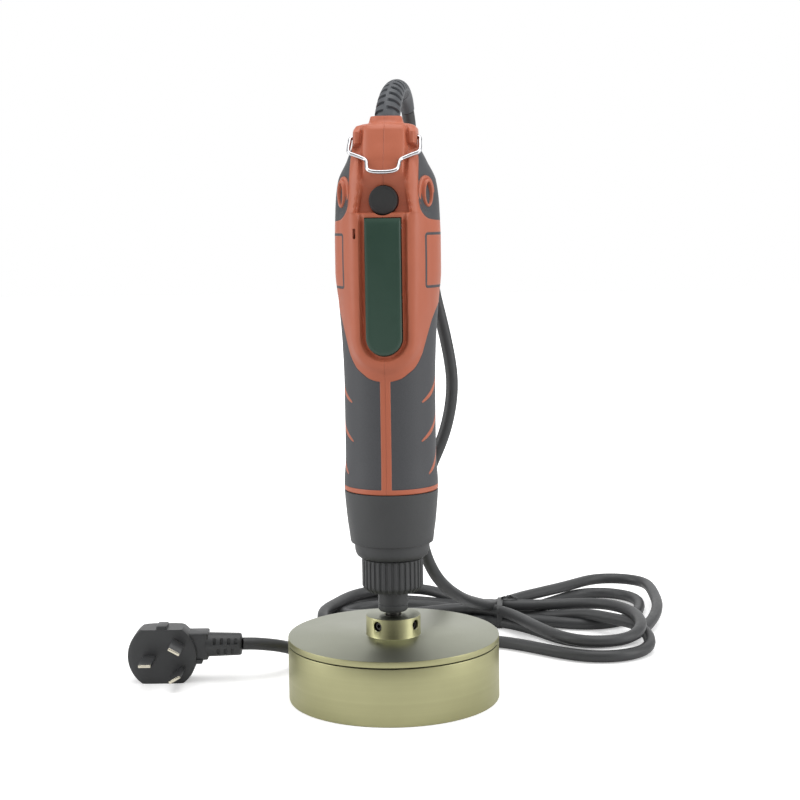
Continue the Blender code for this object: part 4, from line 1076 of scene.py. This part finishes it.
inletSet = {"foot": 17.0,
            # half width, half height, height over the foot
            "rings": ((6.3, 8.0, 0.3), (6.3, 8.0, 4.7), (6.1, 7.8, 5.15), (5.4, 7.1, 5.35),
                      (3.95, 6.5, 5.05), (3.7, 6.3, 5.45), (3.55, 6.15, 6.2), (3.25, 5.9, 6.52),
                      (2.9, 5.55, 6.6), (2.55, 5.2, 6.42), (2.3, 4.95, 6.0), (2.05, 4.7, 4.9),
                      (1.9, 4.55, 3.2))}


def makeInlets():
    s = inletSet
    for side, word in ((-1, "left"), (1, "right")):
        inlet = turnedPiece(f"inlet_{word}", [(1, height) for a, b, height in s["rings"]], 72)
        for vertex in inlet.data.vertices:
            height = vertex.co.z / mm
            a, b, _ = min(s["rings"], key=lambda ring: abs(ring[2] - height))
            vertex.co.x, vertex.co.y = vertex.co.x * b, vertex.co.y * a
        inlet.matrix_world = (Matrix.Translation(Vector((0, 0, casingHigh - casingSet["inletDrop"])) * mm)
                              @ Matrix.Rotation(radians(side * casingSet["inletTurn"] - 90), 4, "Z")
                              @ Matrix.Translation(Vector((s["foot"], 0, 0)) * mm)
                              @ Matrix.Rotation(pi / 2, 4, "Y"))
        finishPiece(inlet, 28, orangeShell, "orange_plastic", "housing", f"air_inlet_{word}")


makeInlets()


# strain relief that arches back from the collar

reliefSet = {"arch": 25.0, "drop": 10.3, "lean": 8.0, "start": 5.0, "end": 137.0, "radius": (6.2, 3.4),
             "pitch": 3.7, "slotWide": 1.35, "slotDeep": 1.1, "slots": (24.0, 98.0),
             "around": 64, "rows": 420}


def makeRelief():
    s = reliefSet
    lean = radians(s["lean"])
    back = Vector((sin(lean), cos(lean), 0))
    side = Vector((cos(lean), -sin(lean), 0))
    foot = Vector((0, 0, casingHigh - s["drop"]))
    low, high = s["slots"]
    rings = []
    for i in range(s["rows"] + 1):
        t = radians(s["start"] + (s["end"] - s["start"]) * i / s["rows"])
        share = i / s["rows"]
        middle = foot + back * s["arch"] * (1 - cos(t)) + Vector((0, 0, s["arch"] * sin(t)))
        outwards = back * -cos(t) + Vector((0, 0, sin(t)))
        radius = s["radius"][0] + (s["radius"][1] - s["radius"][0]) * (0.55 * share + 0.45 * share ** 3)
        along = t * s["arch"]
        ring = []
        for k in range(s["around"]):
            a = 2 * pi * k / s["around"]
            turn = degrees(a if a < pi else a - 2 * pi)
            column = 0.0 if turn > 0 else 0.42
            phase = (along / s["pitch"] + column) % 1 - 0.5
            reach = abs(abs(turn) % 180 - 90) / 90      # 0 at the flank, 1 at the front and the back
            edge = min(1.0, max(0.0, (0.92 - reach) / 0.05)) * min(1.0, max(0.0, (reach - 0.08) / 0.05))
            dip = min(1.0, max(0.0, (s["slotWide"] / 2 + 0.12 - abs(phase) * s["pitch"]) / 0.24)) * edge
            r = radius - (s["slotDeep"] * dip if low < degrees(t) < high else 0)
            ring.append(middle + outwards * (r * cos(a)) + side * (r * sin(a)))
        rings.append(ring)
    relief = skinned("cord_relief", rings)
    closeUp(relief)
    finishPiece(relief, 32, reliefRubber, "black_rubber", "housing", "strain_relief")


makeRelief()
print("relief is slotted")


# tie round the hank

tieSet = {"x": 46.0, "reach": (115, 165), "lift": 0.3, "slack": 0.1, "thick": 0.24, "half": 1.5,
          "twist": {"place": (141.0, 13.5), "turns": 3, "long": 9, "wide": 0.45, "thick": 0.14, "steps": 40}}


def strandsAt(x, reach):
    # where the cord's strands pass a plane across the hank
    found = []
    for here, there in zip(cordRoute, cordRoute[1:]):
        if (here.x / mm - x) * (there.x / mm - x) <= 0 and here.x != there.x:
            spot = here.lerp(there, (x * mm - here.x) / (there.x - here.x)) / mm
            if reach[0] < spot.y < reach[1]:
                found.append((spot.y, spot.z))
    return found


def outline(points):
    # points round the outside, in order
    points = sorted(set(points))
    halves = []
    for row in (points, points[::-1]):
        half = []
        for p in row:
            while len(half) > 1 and ((half[-1][0] - half[-2][0]) * (p[1] - half[-2][1])
                                     <= (half[-1][1] - half[-2][1]) * (p[0] - half[-2][0])):
                half.pop()
            half.append(p)
        halves += half[:-1]
    return halves


def makeTie():
    # a flat band drawn tight round the strands, its ends twisted together on top
    s = tieSet
    r = cordSet["radius"] + s["slack"]
    turns = [2 * pi * k / 20 for k in range(20)]
    ring = [(y + r * cos(a), max(s["lift"], z + r * sin(a)))
            for y, z in strandsAt(s["x"], s["reach"]) for a in turns]
    band = [Vector(p) for p in outline(ring)]
    count = len(band)
    middle = sum(band, Vector((0, 0))) / count
    rings = []
    for i, here in enumerate(band):
        along = band[(i + 1) % count] - band[i - 1]
        out = Vector((along.y, -along.x)).normalized() * s["thick"]
        there = here + (out if out.dot(here - middle) > 0 else -out)
        corners = (-1, here), (1, here), (1, there), (-1, there)
        rings.append([(s["x"] + x * s["half"], *corner) for x, corner in corners])
    strap = skinned("tie_band", rings, loop=True)
    twist = s["twist"]
    curve = bpy.data.curves.new("twist_tie", "CURVE")
    curve.dimensions, curve.use_fill_caps = "3D", True
    curve.extrude, curve.bevel_depth, curve.bevel_resolution = twist["wide"] * mm, twist["thick"] * mm, 2
    y0, z0 = twist["place"]
    for strand in (0, 1):
        line = curve.splines.new("POLY")
        line.points.add(twist["steps"])
        for i, point in enumerate(line.points):
            share = i / twist["steps"]
            a = 2 * pi * twist["turns"] * share + pi * strand
            r = 0.7 * min(1, share * 6)
            rise = 0.9 * sin(pi * share) + 0.7 * r * sin(a)
            point.co = (*(Vector((s["x"] + 0.4 + twist["long"] * share, y0 + r * cos(a), z0 + rise)) * mm), 1)
    tie = meshed(shown("twist_tie", curve))
    strap.select_set(True)
    bpy.ops.object.join()
    editAll(tie)
    bpy.ops.mesh.normals_make_consistent(inside=False)
    leaveEdit()
    finishPiece(tie, 40, blackMoulding, "black_plastic", "housing", "cord_tie")


# plug with its sleeved blades

plugSet = {"place": (-116.6, 19.9, 13.5), "turn": 5.5, "radius": 17.0, "flat": 13.5, "half": 7.0,
           "blade": (6.35, 1.6, 17.0), "sleeveEnd": 0.7, "reliefHigh": 4.2,
           "blades": ((7.92, 60, -30), (7.92, -60, 30), (10.3, 180, 0)), "bladeMiddle": 4.3}


def plugPlaced(piece):
    piece.matrix_world = (Matrix.Translation(Vector(plugSet["place"]) * mm)
                          @ Matrix.Rotation(radians(plugSet["turn"]), 4, "Z") @ piece.matrix_world)
    return applyPlace(piece)


def makePlug():
    s = plugSet
    r, half = s["radius"], s["half"]
    body = turnedPiece("mains_plug", [
        (r - 3, -half), (r - 1.0, -half + 0.05), (r - 0.3, -half + 0.4), (r, -half + 1.1), (r, half - 2.4),
        (r - 0.8, half - 0.9), (r - 2.4, half)], 160)
    # lies along Y, front face towards -Y, cut flat above and below
    turnTo(body, "Y", (0, 0, 0))
    for low in (-s["flat"] - 20, s["flat"]):
        cutBy(body, plainBlock("flat_cutter", (-30, -20, low), (30, 20, low + 20)))
    top = s["flat"]
    parts = [plainBlock("key_tab", (-2.5, -half + 0.4, top - 1.5), (2.5, half - 4, top + 1.75), 0.5),
             plainBlock("plug_neck", (10.0, -5.0, -2.6), (22.4, half - 0.7, 11.0), 0.9),
             plainBlock("side_key", (14.6, -6.2, -4.2), (19.6, 3.6, -2.2), 0.6)]
    for part in parts:
        cutBy(body, part, "UNION")
    relief = turnedPiece("plug_relief", [(3.0, 21.4), (6.0, 21.4), (5.95, 24), (5.5, 37.6), (5.2, 38.5),
                                         (4.2, 38.8)], 64)
    level = s["reliefHigh"]
    turnTo(relief, "X", (0, 0, level))
    for i in range(4):
        for middle, start in ((level + 2.5, 25.0), (level - 2.5, 26.8)):
            x = start + 3.5 * i
            for near, far in ((-9, -3.9), (3.9, 9)) if x < 36.4 else ():
                notch = plainBlock("notch", (x, near, middle - 1.5), (x + 1.5, far, middle + 1.5), 0.3, 2)
                cutBy(relief, notch)
    cutBy(body, relief, "UNION")
    plugPlaced(body)
    finishPiece(body, 30, plugRubber, "black_rubber", "housing", "plug_body")
    wide, thick, long = s["blade"]
    for i, (radius, turn, tilt) in enumerate(s["blades"]):
        place = (s["bladeMiddle"] + radius * cos(radians(turn)), 0, radius * sin(radians(turn)))
        blade = plainBlock(f"blade_{i + 1}", (-wide / 2 + 0.15, -half - long, -thick / 2 + 0.12),
                           (wide / 2 - 0.15, -half + 2, thick / 2 - 0.12), 0.35)
        sleeve = plainBlock(f"blade_sleeve_{i + 1}", (-wide / 2, -half - long + s["sleeveEnd"], -thick / 2),
                            (wide / 2, -half + 0.5, thick / 2), 0.25, 2)
        for piece in (blade, sleeve):
            piece.matrix_world = (Matrix.Translation(Vector(place) * mm)
                                  @ Matrix.Rotation(radians(-tilt), 4, "Y") @ piece.matrix_world)
            plugPlaced(piece)
        finishPiece(blade, 30, brassBlade, "plug_brass", "housing", f"plug_blade_{i + 1}")
        finishPiece(sleeve, 30, plugRubber, "black_rubber", "housing")


makeTie()
makePlug()
print("tie and plug are made")


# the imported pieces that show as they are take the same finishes

finishOf = {"orange_plastic": orangeShell, "black_plastic": blackMoulding, "green_plastic": leverPlastic,
            "black_rubber": cordRubber, "liner_rubber": linerRubber, "champagne_aluminium": champagneHead,
            "bright_steel": brightSteel, "gear_steel": gearSteel, "dark_steel": darkSteel,
            "copper": copperWindings, "carbon": carbonBlock, "plug_brass": brassBlade}

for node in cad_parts.values():
    for place in node.material_slots:
        place.material = finishOf[place.material.name.split(".")[0]]


# floor, backdrop and light

stageSet = {"size": 8, "shade": paint(178, 178, 178), "paper": (paint(249, 249, 249), paint(252, 252, 252)),
            # metres from the object's middle, and how bright the floor looks from there to there
            "fade": (0.15, 1.0, 0.34, 0.95), "room": 0.47, "card": paint(60, 60, 60)}


def makeStage():
    s = stageSet
    deselect()
    bpy.ops.mesh.primitive_plane_add(size=s["size"], location=(0, 0, 0))
    floor = newestPiece("floor")
    look = Finish("pale_floor", Roughness=0.9, Specular_IOR_Level=0.1)
    paper = look.noise(900, 3, 0.6)
    path = look.node("ShaderNodeLightPath").outputs
    seen = path["Is Camera Ray"]
    pale = look.blended(paper, *s["paper"])
    look.colour(look.blended(look.maths("MAXIMUM", seen, path["Is Glossy Ray"]), s["shade"], pale))
    # fades to plain white away from the object
    out = look.node("ShaderNodeVectorMath", {0: look.place()}, operation="LENGTH").outputs["Value"]
    look.shader.inputs["Emission Color"].default_value = (1, 1, 1, 1)
    look.links.new(look.maths("MULTIPLY", seen, look.spread(out, *s["fade"])),
                   look.shader.inputs["Emission Strength"])
    floor.data.materials.append(look.material)
    world = bpy.data.worlds.new("soft_room")
    bpy.context.scene.world = world
    world.use_nodes = True
    nodes, links = world.node_tree.nodes, world.node_tree.links
    path = nodes.new("ShaderNodeLightPath")
    seen = nodes.new("ShaderNodeMath")
    seen.operation = "MAXIMUM"
    links.new(path.outputs["Is Camera Ray"], seen.inputs[0])
    links.new(path.outputs["Is Transmission Ray"], seen.inputs[1])
    strength = nodes.new("ShaderNodeMapRange")
    strength.inputs[3].default_value, strength.inputs[4].default_value = s["room"], 1.0
    links.new(seen.outputs[0], strength.inputs[0])
    background = nodes["Background"]
    background.inputs[0].default_value = (1, 1, 1, 1)
    links.new(strength.outputs[0], background.inputs[1])


lampSet = {
    # name: (where, what it points at, width, height, watts)
    "left_softbox": ((-1.5, -0.35, 0.7), (0, 0, 0.12), 0.8, 1.5, 11.5),
    "right_softbox": ((1.6, -0.3, 0.7), (0, 0, 0.12), 0.8, 1.5, 12),
    "top_softbox": ((0.1, 0.0, 1.9), (0, 0, 0.1), 1.6, 1.6, 18),
    "back_panel": ((0.0, 2.1, 0.75), (0, 0, 0.1), 3.0, 1.5, 10),
    "front_fill": ((0.5, -2.2, 0.9), (0, 0, 0.15), 1.6, 1.2, 5.5),
}


def makeCard():
    # dark card behind the camera, which the metal and the gloss mirror as the unlit side of a studio
    deselect()
    bpy.ops.mesh.primitive_plane_add(size=1.5, location=(0.1, -1.5, 0.6), rotation=(pi / 2, 0, 0))
    card = newestPiece("dark_card")
    look = Finish("card_black", Base_Color=stageSet["card"], Roughness=0.9)
    card.data.materials.append(look.material)
    card.visible_camera = card.visible_shadow = card.visible_diffuse = False


def makeLamps():
    for name, (place, aim, wide, high, power) in lampSet.items():
        deselect()
        bpy.ops.object.light_add(type="AREA", location=place)
        lamp = bpy.context.object
        lamp.name = name
        lamp.data.shape = "RECTANGLE"
        lamp.data.size, lamp.data.size_y, lamp.data.energy = wide, high, power
        lamp.rotation_euler = (Vector(aim) - Vector(place)).to_track_quat("-Z", "Y").to_euler()
        lamp.visible_glossy = name != "front_fill"


makeStage()
makeCard()
makeLamps()
print("stage is lit")
